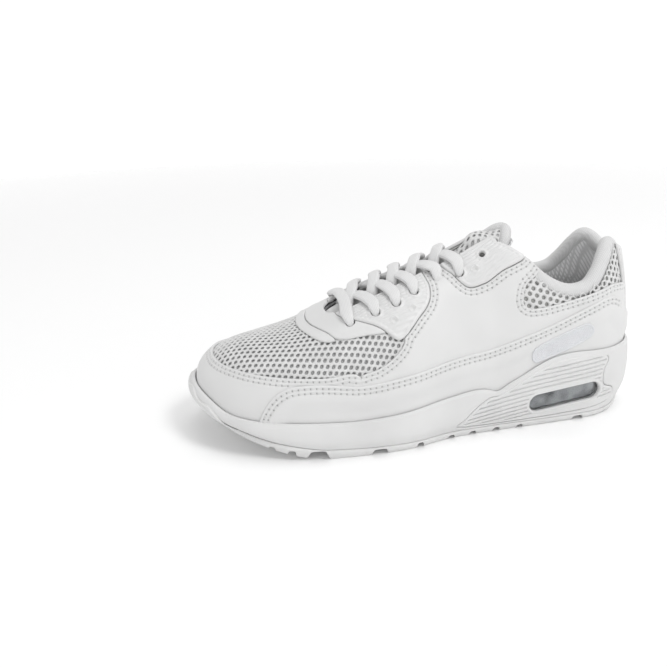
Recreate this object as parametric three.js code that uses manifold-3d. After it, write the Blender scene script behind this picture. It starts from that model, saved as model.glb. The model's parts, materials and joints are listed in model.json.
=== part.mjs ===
// Running shoe for the left foot, in millimetres.
// The toe points to -X, the outer (lateral) side faces -Y, up is +Z.
import * as THREE from 'three';
import { mergeVertices } from 'three/addons/utils/BufferGeometryUtils.js';
import Module from 'manifold-3d';

const wasm = await Module();
wasm.setup();

// ---- driving dimensions ---------------------------------------------------

const TOE_X = -143;
const HEEL_X = 142.5;
const LATERAL = -1;
const MEDIAL = 1;
const GAP = 0.3;

// How far the upper's lower edge sits inside the sole's outline.
const FEATHER_INSET = 5;

// The top line of the foot shape runs between these two stations.
const RIDGE_FRONT_X = -95;
const RIDGE_BACK_X = 100;

// Layers of the upper, measured outwards from the foot shape: inner face, outer face.
const OVERLAY = [0.1, 1.5];
const BASE = [-1.3, -0.2];
const LINING = [-2.6, -1.6];
const PADDING_DEPTH = 6.4;
const BADGE = [1.8, 2.8];

const BINDING_RADIUS = 4;
const BINDING_INSET = 4.7;
const BINDING_DROP = 4.3;
const COLLAR_DROP = 10;
// The heel's layers sit a little deeper than those in front of it.
const COLLAR_BASE = [-1.9, -0.8];
const COLLAR_LINING = [-3.2, -2.2];
const EYELET_RADIUS = 2.7;
const LACE_RADIUS = 1.6;
const LACE_STEPS = 250;

const OUTSOLE_LIP = 0.8;
const CUP_WALL_INNER = 2;
const BOARD_THICKNESS = 1.3;
const FRAME_DEPTH = 1.6;
const WINDOW_ENDS = [[66, 16.8], [102, 20.9]];
const WINDOW_RADIUS = 6.2;

// Stations round the outline of each side, from the toe (0) to the heel (1).
const STATIONS = [0, 0.035, 0.08, 0.13, 0.19, 0.27, 0.36, 0.45, 0.54, 0.6, 0.625, 0.645, 0.68, 0.71,
  0.74, 0.765, 0.79, 0.815, 0.84, 0.86, 0.88, 0.9, 0.92, 0.94, 0.96, 0.98, 1];
// The layers in front of the collar end here.
const FRONT_END = 0.738;
// Levels up the upper: -1 at the foot bed, 0 where the foot shape starts to curve, 1 at the ridge.
const LEVELS = [-1, 0, 0.14, 0.3, 0.48, 0.66, 0.84, 1];

// ---- curves ---------------------------------------------------------------

// A smooth curve through [x, value] pairs.
function curve(points) {
  const last = points.length - 1;
  const slope = (i, j) => (points[j][1] - points[i][1]) / (points[j][0] - points[i][0]);
  const slopes = points.map((_, i) => slope(Math.max(i - 1, 0), Math.min(i + 1, last)));
  return (at) => {
    const x = Math.min(Math.max(at, points[0][0]), points[last][0]);
    let i = 0;
    while (i < last - 1 && x > points[i + 1][0]) i += 1;
    const width = points[i + 1][0] - points[i][0];
    const t = (x - points[i][0]) / width;
    const rise = t * t * (3 - 2 * t);
    return points[i][1] * (1 - rise) + points[i + 1][1] * rise
      + width * slopes[i] * t * (1 - t) * (1 - t)
      + width * slopes[i + 1] * t * t * (t - 1);
  };
}

const lateralHalf = curve([[-143, 50], [-100, 51], [-70, 52.5], [-40, 53.5], [-15, 52], [10, 45.5],
  [40, 42], [75, 40.5], [105, 39.5], [142.5, 38]]);
const medialHalf = curve([[-143, 46], [-110, 48], [-80, 50], [-55, 50], [-25, 45], [10, 38],
  [40, 36.5], [75, 37], [105, 37.5], [142.5, 37]]);
const centreLine = curve([[-143, 9], [-120, 5], [-90, 1.5], [-60, 0], [142.5, 0]]);
const wallTop = curve([[-143, 37], [-133, 33], [-122, 27], [-107, 25], [-90, 24.5], [-70, 23.6],
  [-50, 23.2], [-28, 24.5], [-8, 27], [11, 28.8], [24, 30.2], [32, 29.4], [39, 27.4], [47, 31.5],
  [56, 36], [64, 40.5], [73, 44.5], [82, 46.5], [92, 47.2], [112, 46.8], [142.5, 47]]);
const footBed = curve([[-143, 29], [-133, 26.5], [-120, 22.5], [-107, 20], [-80, 18], [-50, 17.5],
  [-20, 19], [10, 21.5], [40, 22], [70, 27], [100, 31], [142.5, 32]]);
const treadLine = curve([[-143, 24], [-137, 20.5], [-125, 15.5], [-106, 9], [-92, 4.6], [-79, 1.4],
  [-68, 0], [-60, 0], [112, 0], [126, 0.8], [142.5, 4]]);
const ground = (x) => Math.max(treadLine(x), 0);
const outsoleDepth = curve([[-143, 3.5], [-110, 4.5], [-80, 6.5], [-40, 5], [0, 4.5], [142.5, 4]]);
const soleFoot = curve([[-143, -1], [-110, 1.5], [-70, 3], [0, 2], [60, 2.5], [110, 1.5], [142.5, 0]]);
const ridge = curve([[-143, 53], [-120, 58.8], [-95, 62], [-77, 66.3], [-48, 78.8], [-21, 90.6],
  [18, 105.7], [44, 116], [60, 121], [80, 135], [100, 148], [142.5, 150]]);
const fullness = curve([[-143, 0.8], [-100, 0.72], [-60, 0.765], [-20, 0.88], [20, 0.99],
  [60, 0.84], [95, 1.05], [142.5, 1.02]]);
const topLine = curve([[46, 114.5], [51, 112], [60, 106.2], [69, 97.8], [80, 91], [89, 88.5],
  [98, 91], [106, 99.5], [113, 109], [119, 114], [125, 112], [133, 106], [150, 104]]);

function smoothStep(low, high, x) {
  const t = Math.min(Math.max((x - low) / (high - low), 0), 1);
  return t * t * (3 - 2 * t);
}

// ---- the sole's outline and the foot shape --------------------------------

// 1 over the middle of the sole, falling to 0 at both tips.
function endCap(x) {
  const toe = Math.min(Math.max((-80 - x) / 63, 0), 1);
  const heel = Math.min(Math.max((x - 98) / 44.5, 0), 1);
  const close = (t, power) => Math.max(0, 1 - t ** power) ** (1 / power);
  return close(toe, 2.25) * close(heel, 2.2);
}

function outlinePoint(side, t) {
  const x = (TOE_X + HEEL_X) / 2 - (HEEL_X - TOE_X) / 2 * Math.cos(Math.PI * t);
  const half = side < 0 ? lateralHalf(x) : medialHalf(x);
  return new THREE.Vector2(x, centreLine(x) + side * half * endCap(x));
}

// The feather line of one side: even steps along the outline, moved inwards.
function featherTable(side) {
  const count = 600;
  const step = 1 / count;
  const points = [];
  for (let i = 0; i <= count; i += 1) {
    const here = outlinePoint(side, i * step);
    const before = outlinePoint(side, Math.max(i - 1, 0) * step);
    const after = outlinePoint(side, Math.min(i + 1, count) * step);
    const along = after.sub(before).normalize();
    const outward = new THREE.Vector2(-along.y * side, along.x * side);
    if (i === 0) outward.set(-1, 0);
    if (i === count) outward.set(1, 0);
    points.push({ spot: here.addScaledVector(outward, -FEATHER_INSET), outward });
  }
  let travelled = 0;
  points.forEach((point, i) => {
    travelled += i ? point.spot.distanceTo(points[i - 1].spot) : 0;
    point.travelled = travelled;
  });
  points.forEach((point) => {
    point.fraction = point.travelled / travelled;
  });
  return points;
}

const feathers = { [LATERAL]: featherTable(LATERAL), [MEDIAL]: featherTable(MEDIAL) };

// u runs from -1 (heel) over 0 (toe) to 1 (heel); its sign gives the side.
function feather(u) {
  const table = feathers[u < 0 ? LATERAL : MEDIAL];
  const wanted = Math.abs(u);
  let i = 0;
  while (i < table.length - 2 && wanted > table[i + 1].fraction) i += 1;
  const t = (wanted - table[i].fraction) / (table[i + 1].fraction - table[i].fraction);
  return {
    spot: table[i].spot.clone().lerp(table[i + 1].spot, t),
    outward: table[i].outward.clone().lerp(table[i + 1].outward, t).normalize(),
  };
}

// Both sides share one top line, so its stations are the mean of the two.
function ridgeX(u) {
  const mean = (feather(u).spot.x + feather(-u).spot.x) / 2;
  return RIDGE_FRONT_X + (RIDGE_BACK_X - RIDGE_FRONT_X) * (mean - TOE_X) / (HEEL_X - TOE_X);
}

// A point beside the feather line: out is the distance outwards.
function beside(u, out, height) {
  const { spot, outward } = feather(u);
  const at = spot.clone().addScaledVector(outward, out);
  return new THREE.Vector3(at.x, at.y, height(spot.x));
}

// A point of the foot shape.
function skin(u, level) {
  const { spot } = feather(u);
  const start = wallTop(spot.x) - 4;
  if (level < 0) {
    const low = footBed(spot.x) + GAP;
    return new THREE.Vector3(spot.x, spot.y, start + (start - low) * level);
  }
  const topX = ridgeX(u);
  const angle = level * Math.PI / 2;
  const power = fullness(spot.x);
  const inward = 1 - Math.max(Math.cos(angle), 0) ** power;
  const upward = Math.sin(angle) ** power;
  const x = spot.x + (topX - spot.x) * inward;
  const y = spot.y + (centreLine(topX) * 0.8 - spot.y) * inward;
  return new THREE.Vector3(x, y, start + (ridge(x) - start) * upward);
}

// The outward direction of the foot shape.
function skinNormal(u, level) {
  const step = 0.004;
  if (level < step) {
    const { outward } = feather(u);
    return new THREE.Vector3(outward.x, outward.y, 0);
  }
  const seam = level > 1 - 2 * step;
  const ends = Math.abs(u) < step || Math.abs(u) > 1 - step;
  if (seam || ends) {
    const inner = Math.min(Math.max(Math.abs(u), 2 * step), 1 - 2 * step);
    const low = Math.min(level, 1 - 3 * step);
    return skinNormal(inner, low).add(skinNormal(-inner, low)).normalize();
  }
  const along = skin(u + step, level).sub(skin(u - step, level));
  const up = skin(u, level + step).sub(skin(u, level - step));
  return along.cross(up).normalize().multiplyScalar(-1);
}

// How full the collar's padding is, from 0 to 1.
function padding(u, level) {
  return smoothStep(0.62, 0.76, Math.abs(u)) * smoothStep(0.08, 0.26, level);
}

// ---- solids ---------------------------------------------------------------

function toSolid(geometry) {
  geometry.deleteAttribute('normal');
  geometry.deleteAttribute('uv');
  const welded = mergeVertices(geometry, 1e-4);
  const positions = new Float32Array(welded.attributes.position.array);
  const triangles = new Uint32Array(welded.index.array);
  const mesh = new wasm.Mesh({ numProp: 3, vertProperties: positions, triVerts: triangles });
  return new wasm.Manifold(mesh);
}

// A closed body from points and triangles.
function fromTriangles(points, triangles) {
  const geometry = new THREE.BufferGeometry();
  const numbers = points.flatMap((point) => [point.x, point.y, point.z]);
  geometry.setAttribute('position', new THREE.Float32BufferAttribute(numbers, 3));
  geometry.setIndex(triangles.flat());
  return toSolid(geometry);
}

// A sheet over a grid of u and level values; equal points are joined.
function sheetOver(us, levels, point, normal) {
  const vertices = [];
  const seen = new Map();
  const index = (u, level) => {
    const at = point(u, level);
    const key = [at.x, at.y, at.z].map((value) => Math.round(value * 1000)).join();
    if (!seen.has(key)) {
      seen.set(key, vertices.length);
      vertices.push({ at, normal: normal(u, level), u, level });
    }
    return seen.get(key);
  };
  const triangles = [];
  for (let i = 0; i + 1 < us.length; i += 1) {
    for (let j = 0; j + 1 < levels.length; j += 1) {
      const a = index(us[i], levels[j]);
      const b = index(us[i + 1], levels[j]);
      const c = index(us[i + 1], levels[j + 1]);
      const d = index(us[i], levels[j + 1]);
      triangles.push([a, d, b], [b, d, c]);
    }
  }
  return { vertices, triangles: triangles.filter(([a, b, c]) => a !== b && b !== c && c !== a) };
}

// Gives a sheet thickness: low and high are distances along the normals.
function thicken(sheet, low, high) {
  const { vertices, triangles } = sheet;
  const count = vertices.length;
  const move = (vertex, distance) => vertex.at.clone().addScaledVector(vertex.normal, distance(vertex));
  const points = [
    ...vertices.map((vertex) => move(vertex, high)),
    ...vertices.map((vertex) => move(vertex, low)),
  ];
  const edges = new Map();
  triangles.forEach(([a, b, c]) => {
    [[a, b], [b, c], [c, a]].forEach(([from, to]) => edges.set(`${from} ${to}`, [from, to]));
  });
  const closed = triangles.flatMap(([a, b, c]) => [[a, b, c], [a + count, c + count, b + count]]);
  edges.forEach(([from, to]) => {
    if (edges.has(`${to} ${from}`)) return;
    closed.push([to, from, from + count], [to, from + count, to + count]);
  });
  return fromTriangles(points, closed);
}

const constant = (value) => () => value;
const bothSides = [...STATIONS.map((a) => -a).reverse(), ...STATIONS.slice(1)];
const frontSides = [-FRONT_END, ...bothSides.filter((u) => Math.abs(u) < FRONT_END), FRONT_END];
const skinSheet = sheetOver(bothSides, LEVELS, skin, skinNormal);
const frontSheet = sheetOver(frontSides, LEVELS, skin, skinNormal);

// The level at which the foot shape passes a limit, which is a height for each x.
function levelWhere(u, limit) {
  let low = 0;
  let high = 0.97;
  for (let i = 0; i < 30; i += 1) {
    const level = (low + high) / 2;
    const at = skin(u, level);
    if (at.z > limit(at.x)) high = level;
    else low = level;
  }
  return low;
}

// The line that runs some distance below the foot opening's edge.
function belowTopLine(distance) {
  return (x) => {
    const slope = (topLine(x + 1.5) - topLine(x - 1.5)) / 3;
    return topLine(x) - distance * Math.hypot(1, slope);
  };
}

// A sheet round the heel between two limits. Rows below 0 lead down to the foot bed,
// and rows from 0 to 1 lead from the low limit, or the start of the curve, to the high one.
function collarSheet(lowLimit, highLimit, rows) {
  const back = STATIONS.filter((a) => a > FRONT_END);
  const stations = [...back, ...back.map((a) => -a).reverse().slice(1)];
  const levelOf = (u, row) => {
    if (row < 0) return row;
    const low = lowLimit ? levelWhere(u, lowLimit) : 0;
    return low + (levelWhere(u, highLimit) - low) * row;
  };
  const point = (u, row) => skin(u, levelOf(u, row));
  const normal = (u, row) => skinNormal(u, levelOf(u, row));
  const sheet = sheetOver(stations, rows, point, normal);
  sheet.vertices.forEach((vertex) => {
    vertex.level = levelOf(vertex.u, vertex.level);
  });
  return sheet;
}

// A body between rings that follow the feather line, from the bottom ring to the top one.
function loft(rings) {
  const around = [...bothSides.slice(0, -1)];
  const points = rings.flatMap(({ out, height }) => around.map((u) => beside(u, out(feather(u).spot.x), height)));
  const count = around.length;
  const triangles = [];
  for (let ring = 0; ring + 1 < rings.length; ring += 1) {
    for (let i = 0; i < count; i += 1) {
      const a = ring * count + i;
      const b = ring * count + (i + 1) % count;
      triangles.push([a, a + count, b], [b, a + count, b + count]);
    }
  }
  const top = (rings.length - 1) * count;
  for (let i = 0; i < count / 2; i += 1) {
    const near = [i, i + 1];
    const far = [(count - i) % count, count - i - 1];
    const faces = [[near[0], far[1], near[1]], [near[0], far[0], far[1]]];
    faces.filter((face) => new Set(face).size === 3).forEach(([a, b, c]) => {
      triangles.push([a, c, b], [top + a, top + b, top + c]);
    });
  }
  return fromTriangles(points, triangles);
}

function shapeOf(points) {
  return new THREE.Shape(points.map(([x, y]) => new THREE.Vector2(x, y)));
}

// Moves every edge of a closed outline outwards.
function grow(points, distance) {
  const corners = points.map(([x, y]) => new THREE.Vector2(x, y));
  const turn = Math.sign(THREE.ShapeUtils.area(corners));
  const outward = (from, to) => {
    const along = to.clone().sub(from).normalize();
    return new THREE.Vector2(along.y * turn, -along.x * turn);
  };
  const count = corners.length;
  return corners.map((corner, i) => {
    const first = outward(corners[(i + count - 1) % count], corner);
    const second = outward(corner, corners[(i + 1) % count]);
    const reach = distance / Math.max(1 + first.dot(second), 0.3);
    return [corner.x + (first.x + second.x) * reach, corner.y + (first.y + second.y) * reach];
  });
}

// A prism through one side of the shoe, from an outline seen from the side; side 0 means both.
function sidePrism(points, side) {
  const depth = side === 0 ? 180 : 90 - GAP / 2;
  const geometry = new THREE.ExtrudeGeometry(shapeOf(points), { depth, bevelEnabled: false });
  geometry.rotateX(Math.PI / 2);
  geometry.translate(0, side === LATERAL ? -GAP / 2 : 90, 0);
  return toSolid(geometry);
}

// A prism straight up, from an outline seen from above.
function planPrism(points, distance = 0) {
  const settings = { depth: 200, bevelEnabled: false };
  return toSolid(new THREE.ExtrudeGeometry(shapeOf(grow(points, distance)), settings));
}

// The same on one side, from [x, distance from the middle].
function panelPrism(points, side, distance = 0) {
  return planPrism(points.map(([x, y]) => [x, across(x, y, side)]), distance);
}

// The same across both sides, from a half outline that starts and ends on the middle.
function mirroredPrism(half, distance = 0) {
  const lateral = half.map(([x, y]) => [x, across(x, y, LATERAL)]);
  const medial = half.slice(1, -1).map(([x, y]) => [x, across(x, y, MEDIAL)]).reverse();
  return planPrism([...lateral, ...medial], distance);
}

function box(fromX, toX, fromZ, toZ, side = 0) {
  return sidePrism([[fromX, fromZ], [toX, fromZ], [toX, toZ], [fromX, toZ]], side);
}

function tube(points, radius, sides, steps) {
  const corners = [];
  for (let i = 0; i < sides; i += 1) {
    const angle = i / sides * Math.PI * 2;
    corners.push([Math.cos(angle) * radius, Math.sin(angle) * radius]);
  }
  const path = new THREE.CatmullRomCurve3(points, false, 'centripetal');
  const settings = { steps, bevelEnabled: false, extrudePath: path };
  return toSolid(new THREE.ExtrudeGeometry(shapeOf(corners), settings));
}

const cutAll = (body, tools) => tools.reduce((left, tool) => left.subtract(tool), body);

// ---- panel outlines, seen from the side [x, z] ----------------------------

const FOXING = [[-107, 12], [-106, 22], [-103, 30.5], [-98.5, 37.2], [-94, 41], [-88, 43.8], [-78, 45],
  [-68, 45], [-48, 43.4], [-38, 44], [-27, 45.5], [-12, 47.6], [19, 52], [34, 54], [48, 57.7],
  [74, 66], [96, 74.2], [107, 78.2], [113, 79], [118, 77.5], [123, 73.5], [133, 63], [150, 58],
  [150, 12]];
const MUDGUARD = [[-160, 12], [-160, 50], [-129, 50.2], [-107, 48.9], [-68, 48.3], [-48.2, 48.3],
  [-48.2, 12]];
const QUARTER = [[-47.9, 12], [-47.9, 48.4], [-37, 51.6], [-26, 58.4], [-20.5, 65], [-21, 69],
  [-24, 71], [-24, 160], [150, 160], [150, 12]];
const COLLAR_PANEL = [[62, 99], [57, 90], [54.8, 82], [55.6, 78.5], [59, 76.4], [67, 76.4],
  [79, 78], [92, 80.4], [106, 83.6], [116, 85.7], [150, 80], [150, 130], [62, 130]];
const HEEL_TAB = [[120.4, 106.5], [123.2, 97], [126.2, 83], [127.6, 70], [128.5, 50], [150, 50],
  [150, 98]];
const VAMP = [[-160, 44.2], [-90, 42.5], [-49, 42], [-38, 45], [-27, 52], [-16, 62], [-14, 70],
  [-14, 160], [-160, 160]];
const TOE_PUFF = [[-160, 12], [-160, 43.9], [-90, 42.2], [-90, 12]];
const BADGE_OUTLINE = [[61, 50.5], [61.3, 45], [63.3, 42.7], [67.5, 43.4], [98.5, 54.8],
  [101.6, 58], [100.6, 62.3], [96.6, 64.7], [93, 64.3], [64, 53.6]];
const WINDOW_FRAME = [[12, 8.2], [16.5, 12], [24, 19], [33, 24.5], [39, 25], [47, 29], [56, 33.5],
  [64, 38], [73, 42], [82, 44], [92, 44.7], [108, 44.5], [113, 41], [110, 33], [111, 24],
  [119, 19.5], [119, 12], [108, 8.2]];

// ---- panel outlines, seen from above [x, distance from the middle] --------

const THROAT_SLOT = [[-59, 0], [-58, 7], [-53, 12], [-40, 14.5], [-21, 14], [-10, 12.5], [5, 10.5],
  [19, 9.5], [34, 8], [46, 8.5], [54, 12], [64, 18], [90, 18], [90, 0]];
const LOWER_EYESTAY = [[-54, 10], [-52.5, 19], [-43.5, 27.5], [-34, 33.5], [-24.6, 39.2],
  [-20, 38.6], [-15, 36.3], [-10, 33.2], [-5, 30], [-1.8, 26.6], [-0.4, 22], [-1, 17], [-3.5, 9]];
const UPPER_EYESTAY = [[9.5, 8], [11, 13.5], [15, 18], [18, 21.5], [22.5, 24.4], [30, 25.2],
  [42.7, 24.6], [52, 24.4], [57.5, 23.4], [56, 20], [52, 15], [46, 7], [30, 6]];
const THROAT_PIECE = [[-70.8, 0], [-69.8, 9], [-66.6, 18], [-62.5, 25], [-59, 30.5], [-54, 33],
  [-42.6, 34.8], [-29.6, 36.3], [-20, 36], [-20, 0]];
const THROAT_STRIP = [[-77, 0], [-76, 9], [-73.2, 18], [-70, 24.5], [-65, 29.8], [-59.3, 31.5],
  [-62.8, 25], [-66.9, 18], [-70.1, 9], [-71.1, 0]];

// Eyelets on each side [x, distance from the middle]; the last one stays open.
const EYELETS = [[-49, 26], [-34, 26.5], [-21.5, 25.5], [-10, 22.3], [5.5, 18.3], [19, 18.6],
  [34.3, 15.4]];
const LACED = 6;

// Grooves across the tread [x, width, depth].
const TREAD_GROOVES = [[-100, 2.4, 2], [-89, 3, 2.6], [-74, 7, 4.6], [-37.5, 6, 3.2], [-12, 3, 3],
  [9.5, 3, 2.4], [24, 3, 2.4], [40, 3, 2.4], [55.8, 3, 2.2], [96, 5, 2.6]];

// ---- sole -----------------------------------------------------------------

// The sole's side wall: rise is 0 at the outsole and 1 at the top edge.
const wallBulge = curve([[0, 0], [0.35, 1], [1, 1]]);
const wallFlare = curve([[0, 5], [0.35, 5], [0.75, 4.7], [1, 3.9]]);
const wallRises = [0, 0.35, 0.75, 1];

function wallOut(rise) {
  return (x) => soleFoot(x) + (wallFlare(rise) - soleFoot(x)) * wallBulge(rise);
}

function wallHeight(rise) {
  return (x) => {
    const low = ground(x) + outsoleDepth(x) + GAP;
    return low + (wallTop(x) - low) * rise;
  };
}

function wallPoint(u, rise) {
  return beside(u, wallOut(rise)(feather(u).spot.x), wallHeight(rise));
}

function wallNormal(u) {
  const { outward } = feather(u);
  return new THREE.Vector3(outward.x, outward.y, 0);
}

function windowPill(radius) {
  const [[frontX, frontZ], [backX, backZ]] = WINDOW_ENDS;
  const tilt = Math.atan2(backZ - frontZ, backX - frontX);
  const outline = [];
  for (let i = 0; i <= 6; i += 1) {
    const angle = tilt + Math.PI / 2 + Math.PI * i / 6;
    outline.push([frontX + radius * Math.cos(angle), frontZ + radius * Math.sin(angle)]);
  }
  for (let i = 0; i <= 6; i += 1) {
    const angle = tilt - Math.PI / 2 + Math.PI * i / 6;
    outline.push([backX + radius * Math.cos(angle), backZ + radius * Math.sin(angle)]);
  }
  return outline;
}

function wallPlate(low, high, outline, side) {
  const stations = STATIONS.filter((a) => a > 0.5 && a < 0.99).map((a) => a * side);
  const ordered = side < 0 ? stations.reverse() : stations;
  const sheet = sheetOver(ordered, wallRises, wallPoint, wallNormal);
  return thicken(sheet, constant(low), constant(high)).intersect(sidePrism(outline, side));
}

function buildMidsole() {
  const rings = [
    ...wallRises.map((rise) => ({ out: wallOut(rise), height: wallHeight(rise) })),
    { out: constant(CUP_WALL_INNER), height: (x) => wallTop(x) - 0.2 },
    { out: constant(CUP_WALL_INNER), height: footBed },
  ];
  const pockets = [LATERAL, MEDIAL].map((side) => (
    wallPlate(-FRAME_DEPTH - GAP, 4, grow(WINDOW_FRAME, GAP), side)
  ));
  return cutAll(loft(rings), [...pockets, sidePrism(windowPill(WINDOW_RADIUS), 0)]);
}

function buildWindowFrame(side) {
  const opening = sidePrism(windowPill(WINDOW_RADIUS - 0.4), side);
  return wallPlate(-FRAME_DEPTH, 0.2, WINDOW_FRAME, side).subtract(opening);
}

// The air unit fills the tunnel and stands back from both side walls.
function buildAirUnit() {
  const inside = loft([
    { out: constant(0.8), height: constant(5) },
    { out: constant(0.8), height: constant(40) },
  ]);
  return sidePrism(windowPill(WINDOW_RADIUS - GAP - 0.4), 0).intersect(inside);
}

function buildOutsole() {
  const slab = loft([
    { out: (x) => soleFoot(x) - 1.5, height: ground },
    { out: (x) => soleFoot(x) + OUTSOLE_LIP, height: (x) => ground(x) + outsoleDepth(x) * 0.6 },
    { out: (x) => soleFoot(x) + OUTSOLE_LIP, height: (x) => ground(x) + outsoleDepth(x) },
  ]);
  const grooves = TREAD_GROOVES.map(([x, width, depth]) => {
    const low = ground(x) - 6;
    const top = ground(x) + depth;
    return sidePrism([[x - width, low], [x + width, low], [x + width * 0.3, top],
      [x - width * 0.3, top]], 0);
  });
  const stations = bothSides.filter((u) => Math.abs(u) < 0.14);
  const sheet = sheetOver(stations, [-0.12, 0, 0.35, 0.75, 0.92], wallPoint, wallNormal);
  const bumper = thicken(sheet, constant(GAP), constant(2));
  return cutAll(slab, grooves).add(bumper);
}

function bedSlab(out, low, high) {
  return loft([
    { out: constant(out), height: (x) => footBed(x) + low },
    { out: constant(out), height: (x) => footBed(x) + high(x) },
  ]);
}

const insoleTop = curve([[-143, 4.6], [-60, 5.2], [20, 6.4], [142.5, 7]]);

// ---- upper ----------------------------------------------------------------

// Everything above the foot opening's edge.
function openingTool() {
  const stations = [46, 51, 55.5, 60, 64, 69, 74, 80, 89, 98, 106, 110, 113, 119, 125, 133, 150];
  const edge = stations.map((x) => [x, topLine(x) - 1]);
  return sidePrism([[40, 118], ...edge, [170, 200], [40, 200]], 0);
}

// Spots of the plan are given for the lateral side; the medial side is narrower.
function across(x, distance, side) {
  const narrowing = (medialHalf(x) - 7) / (lateralHalf(x) - 7);
  return side < 0 ? -distance : distance * narrowing;
}

// The foot shape's point straight above a spot of the plan.
function skinAbove(x, y) {
  const side = Math.sign(y);
  let a = (x - TOE_X) / (HEEL_X - TOE_X);
  let level = 0.7;
  for (let i = 0; i < 25; i += 1) {
    const at = skin(a * side, level);
    const alongA = skin((a + 0.002) * side, level).sub(at).divideScalar(0.002);
    const alongLevel = skin(a * side, level + 0.002).sub(at).divideScalar(0.002);
    const missX = x - at.x;
    const missY = y - at.y;
    const size = alongA.x * alongLevel.y - alongA.y * alongLevel.x;
    a += (missX * alongLevel.y - missY * alongLevel.x) / size * 0.8;
    level += (alongA.x * missY - alongA.y * missX) / size * 0.8;
    a = Math.min(Math.max(a, 0.01), 0.99);
    level = Math.min(Math.max(level, 0.05), 0.995);
  }
  return { at: skin(a * side, level), normal: skinNormal(a * side, level) };
}

function eyeletTool([x, distance], side) {
  const { at, normal } = skinAbove(x, across(x, distance, side));
  const geometry = new THREE.CylinderGeometry(EYELET_RADIUS, EYELET_RADIUS, 16, 8);
  geometry.applyQuaternion(new THREE.Quaternion().setFromUnitVectors(new THREE.Vector3(0, 1, 0), normal));
  geometry.translate(at.x, at.y, at.z);
  return toSolid(geometry);
}

const eyeletTools = [LATERAL, MEDIAL].flatMap((side) => EYELETS.map((spot) => eyeletTool(spot, side)));
const slotTool = mirroredPrism(THROAT_SLOT);
const wideSlotTool = mirroredPrism(THROAT_SLOT, 1);

function buildOverlays() {
  const whole = thicken(skinSheet, constant(OVERLAY[0]), constant(OVERLAY[1]));
  const shell = cutAll(whole, [slotTool, openingTool(), ...eyeletTools]);
  const panels = {};
  const foxingTool = sidePrism(grow(FOXING, GAP), 0);
  const tabTool = sidePrism(grow(HEEL_TAB, GAP), 0);
  const collarTool = sidePrism(grow(COLLAR_PANEL, GAP), 0);
  const throatTool = mirroredPrism(THROAT_PIECE, GAP);
  [[LATERAL, 'lateral'], [MEDIAL, 'medial']].forEach(([side, name]) => {
    const lowerTool = panelPrism(LOWER_EYESTAY, side, GAP);
    const upperTool = panelPrism(UPPER_EYESTAY, side, GAP);
    panels[`foxing_${name}`] = shell.intersect(sidePrism(FOXING, side));
    panels[`eyestay_lower_${name}`] = shell.intersect(panelPrism(LOWER_EYESTAY, side));
    panels[`eyestay_upper_${name}`] = shell.intersect(panelPrism(UPPER_EYESTAY, side));
    const quarter = shell.intersect(sidePrism(QUARTER, side));
    panels[`quarter_${name}`] = cutAll(quarter, [foxingTool, tabTool, collarTool, lowerTool, upperTool,
      throatTool]);
  });
  const eyestayTools = [LATERAL, MEDIAL].map((side) => panelPrism(LOWER_EYESTAY, side, GAP));
  const throat = shell.intersect(mirroredPrism(THROAT_PIECE));
  panels.throat_piece = cutAll(throat, eyestayTools);
  panels.throat_strip = shell.intersect(mirroredPrism(THROAT_STRIP));
  panels.toe_mudguard = shell.intersect(sidePrism(MUDGUARD, 0)).subtract(foxingTool);
  panels.heel_tab = shell.intersect(sidePrism(HEEL_TAB, 0)).subtract(foxingTool);
  return panels;
}

function buildBase() {
  const [low, high] = BASE.map(constant);
  const shell = cutAll(thicken(frontSheet, low, high), [slotTool, openingTool(), ...eyeletTools]);
  const vampTool = sidePrism(grow(VAMP, GAP), 0);
  const puffTool = sidePrism(grow(TOE_PUFF, GAP), 0);
  const counterTop = constant(72);
  const collarEdge = belowTopLine(COLLAR_DROP);
  const [heelLow, heelHigh] = COLLAR_BASE.map(constant);
  const counter = thicken(collarSheet(null, counterTop, [-1, 0, 0.35, 0.7, 1]), heelLow, heelHigh);
  const cloth = thicken(collarSheet(constant(72.4), collarEdge, [0, 0.5, 1]), heelLow, heelHigh);
  const panels = {
    vamp_mesh: shell.intersect(sidePrism(VAMP, 0)),
    toe_puff: shell.intersect(sidePrism(TOE_PUFF, 0)),
    heel_counter: counter,
  };
  [[LATERAL, 'lateral'], [MEDIAL, 'medial']].forEach(([side, name]) => {
    const middle = shell.intersect(box(-100, 90, 12, 160, side));
    panels[`quarter_backing_${name}`] = cutAll(middle, [vampTool, puffTool]);
    panels[`collar_mesh_${name}`] = cloth.intersect(box(40, 160, 12, 160, side));
  });
  return panels;
}

function buildLinings() {
  const face = (distance) => (vertex) => distance - PADDING_DEPTH * padding(vertex.u, vertex.level);
  const front = thicken(frontSheet, face(LINING[0]), face(LINING[1]));
  const shell = cutAll(front, [wideSlotTool, openingTool(), ...eyeletTools]);
  const collarEdge = belowTopLine(COLLAR_DROP);
  const padRows = [0.54, 0.69, 0.84, 1];
  const collar = collarSheet(null, collarEdge, [-1, 0, 0.2, 0.38, ...padRows]);
  const foam = collarSheet(null, collarEdge, padRows);
  return {
    vamp_lining: shell.intersect(box(-160, -14.2, 12, 160)),
    quarter_lining_lateral: shell.intersect(box(-13.9, 90, 12, 160, LATERAL)),
    quarter_lining_medial: shell.intersect(box(-13.9, 90, 12, 160, MEDIAL)),
    collar_lining: thicken(collar, face(COLLAR_LINING[0]), face(COLLAR_LINING[1])),
    collar_padding: thicken(foam, face(COLLAR_LINING[1] + GAP), constant(COLLAR_BASE[0] - GAP)),
  };
}

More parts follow.
